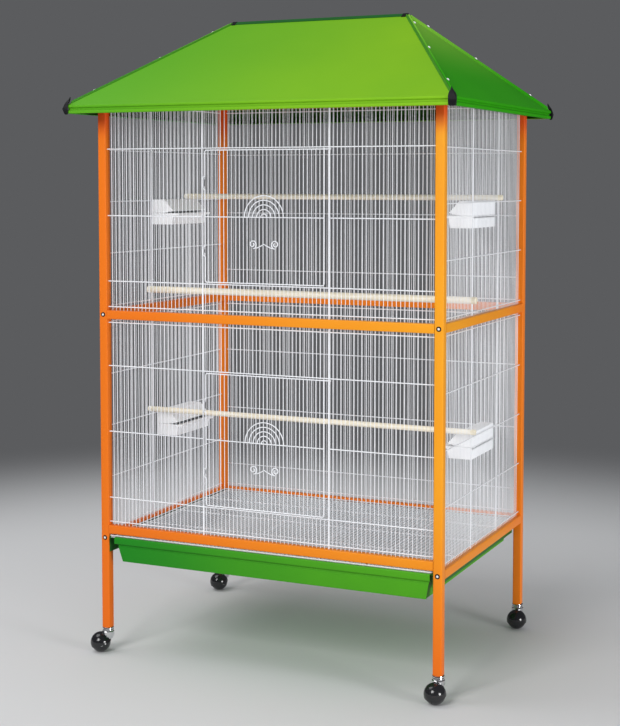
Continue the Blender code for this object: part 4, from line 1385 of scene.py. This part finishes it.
def perch(node, radius):
    low, high = (Vector(corner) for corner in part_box(node))
    centre = (low + high) / 2
    body = PERCH_END - END_ROUNDING
    angles = [2 * pi * side / PERCH_SIDES for side in range(PERCH_SIDES)]
    dowel = skinned("dowel", [
        [(x, centre.y + radius * share * cos(angle), centre.z + radius * share * sin(angle))
         for angle in angles]
        for x, share in ((-PERCH_END, 0.90), (-body, 1.0), (0, 1.005), (body, 1.0), (PERCH_END, 0.90))
    ])
    slots = []
    for side in (-1, 1):
        near, far = sorted((side * (PERCH_END - PERCH_SLOT), side * (PERCH_END + SLOT_PAST)))
        floor_z, top_z = centre.z - SLOT_TALL, centre.z + SLOT_TALL
        outline = [(near, floor_z), (far, floor_z), (far, top_z), (near, top_z)]
        slots.append(slab("slot", outline, centre.y - SLOT_HALF, centre.y + SLOT_HALF))
    mesh = sharpened(carved("dowel", dowel, slots), 35)
    return settle(gathered(node + "_dowel", [mesh], perch_wood), "cage", "perch_wood", node)


for node, radius in PERCH_RADII.items():
    print(perch(node, radius).name)

# %% [markdown]
# ## Ball casters
#
# A ball caster is a hooded ball that trails behind its stem. The chromed collar sits under
# the post, the hood turns below it, and the ball rolls on an axle through the hood. All the
# round parts are profiles spun about an axis: the collar about the stem, the ball and the
# hood about the axle. The hood is half a shell with a thick rim.

# %% Spun profile
ON_AXIS = 1e-6


def spun(name, profile, sides=40, finish=None):
    """A profile of (radius, height) pairs spun about Z; ends on the axis are closed."""
    shape = bmesh.new()
    rings = []
    for radius, height in profile:
        turns = [0.0] if radius < ON_AXIS else [2 * pi * side / sides for side in range(sides)]
        rings.append([shape.verts.new((radius * cos(t), radius * sin(t), height)) for t in turns])
    for first, second in zip(rings, rings[1:]):
        for index in range(sides):
            after = (index + 1) % sides
            if len(first) == 1:
                shape.faces.new((first[0], second[after], second[index]))
            elif len(second) == 1:
                shape.faces.new((first[index], first[after], second[0]))
            else:
                shape.faces.new((first[index], first[after], second[after], second[index]))
    bmesh.ops.recalc_face_normals(shape, faces=shape.faces)
    for face in shape.faces:
        face.smooth = True
    return sharpened(mesh_of(shape, name), 38, finish)


def arc(radius, sweep, steps):
    """Points of an arc that starts at the pole and sweeps down by some degrees, without the pole."""
    angles = [radians(90 - sweep * step / steps) for step in range(1, steps + 1)]
    return [(radius * cos(angle), radius * sin(angle)) for angle in angles]

# %% Caster shapes
BALL = 0.025
TRAIL = 0.019
HOOD_OUTER = BALL + 0.0013
HOOD_INNER = BALL + 0.0005
HOOD_RIM = HOOD_OUTER + 0.0003
HOOD_TILT = 18
SEAM = 0.0009
AXLE_CAP = BALL + 0.0004
AXLE_CAP_PROFILE = ((0.0, 0.0), (0.0030, -0.0001), (0.0052, -0.0007), (0.0060, -0.0016),
                    (0.0058, -0.0030), (0.0, -0.0030))
BOSS_PROFILE = ((0.0, 0.0542), (0.0140, 0.0542), (0.0155, 0.0528), (0.0155, 0.0420), (0.0138, 0.0395),
                (0.0118, 0.0345), (0.0080, 0.0325), (0.0, 0.0320))
COLLAR_PROFILE = ((0.0, 0.0647), (0.0128, 0.0647), (0.0143, 0.0638), (0.0147, 0.0625), (0.0138, 0.0612),
                  (0.0138, 0.0592), (0.0147, 0.0580), (0.0147, 0.0560), (0.0140, 0.0548), (0.0120, 0.0545),
                  (0.0, 0.0545))
PLUG_PROFILE = ((0.0, 0.0895), (0.0080, 0.0895), (0.0090, 0.0880), (0.0090, 0.0646), (0.0, 0.0646))


def ball_meshes():
    """Two half balls with a narrow seam, and a chromed cap on each side of the axle."""
    half = [(0.0, BALL * 0.985)] + [(radius, max(height, 0.0006)) for radius, height in arc(BALL, 90, 12)]
    profile = half + [(BALL - SEAM, 0.0004), (BALL - SEAM, -0.0004)]
    profile += [(radius, -height) for radius, height in reversed(half)]
    made = [spun("ball", profile, 48, black_gloss)]
    for side in (-1, 1):
        outline = [(radius, side * (AXLE_CAP + level)) for radius, level in AXLE_CAP_PROFILE]
        made.append(spun("axle_cap", outline, 24, chrome_plate))
    return made


def hood_meshes():
    """A shell over the upper part of the ball, with a rolled rim, and its stem boss."""
    rim = [(HOOD_RIM * cos(radians(8)), HOOD_RIM * sin(radians(-8))),
           (HOOD_INNER * cos(radians(9)), HOOD_INNER * sin(radians(-9)))]
    profile = [(0.0, HOOD_OUTER), *arc(HOOD_OUTER, 96, 12), *rim]
    profile += [*reversed(arc(HOOD_INNER, 96, 12)), (0.0, HOOD_INNER)]
    axle_place = Matrix.Translation((TRAIL, 0, BALL))
    shell = spun("hood", profile, 48)
    shell.transform(axle_place @ Matrix.Rotation(radians(HOOD_TILT), 4, "Y"))
    keep_out = spun("keep_out", [(0.0, HOOD_INNER), *arc(HOOD_INNER, 180, 20)[:-1], (0.0, -HOOD_INNER)], 36)
    keep_out.transform(axle_place)
    boss = carved("boss", spun("boss", BOSS_PROFILE, 36), [keep_out])
    return [shell, sharpened(boss, 38, chrome_plate)]


def caster_piece(name, meshes, place, finishes, body, slot, node):
    for mesh in meshes:
        mesh.transform(place)
    settle(gathered(name, meshes, *finishes), body, slot, node)

# %% Casters
CASTERS = {
    "front_left": (-POST_X, -POST_Y, 215), "front_right": (POST_X, -POST_Y, 265),
    "rear_left": (-POST_X, POST_Y, 240), "rear_right": (POST_X, POST_Y, 280),
}
GLOSS_AND_CHROME = (black_gloss, chrome_plate)

for where, (x, y, angle) in CASTERS.items():
    stem = Matrix.Translation((x, y, 0))
    swivel = stem @ Matrix.Rotation(radians(angle), 4, "Z")
    axle = swivel @ Matrix.Translation((TRAIL, 0, BALL)) @ Matrix.Rotation(pi / 2, 4, "X")
    collar = [spun("collar", COLLAR_PROFILE), spun("plug", PLUG_PROFILE, 24)]
    caster_piece(f"caster_collar_{where}", collar, stem, (chrome_plate,),
                 "cage", "caster_chrome", f"caster_socket_{where}")
    caster_piece(f"caster_shell_{where}", hood_meshes(), swivel, GLOSS_AND_CHROME,
                 f"caster_{where}", "caster_plastic", f"caster_hood_{where}")
    caster_piece(f"caster_wheel_{where}", ball_meshes(), axle, GLOSS_AND_CHROME,
                 f"ball_{where}", "caster_plastic", f"caster_ball_{where}")
print("casters:", len(CASTERS))
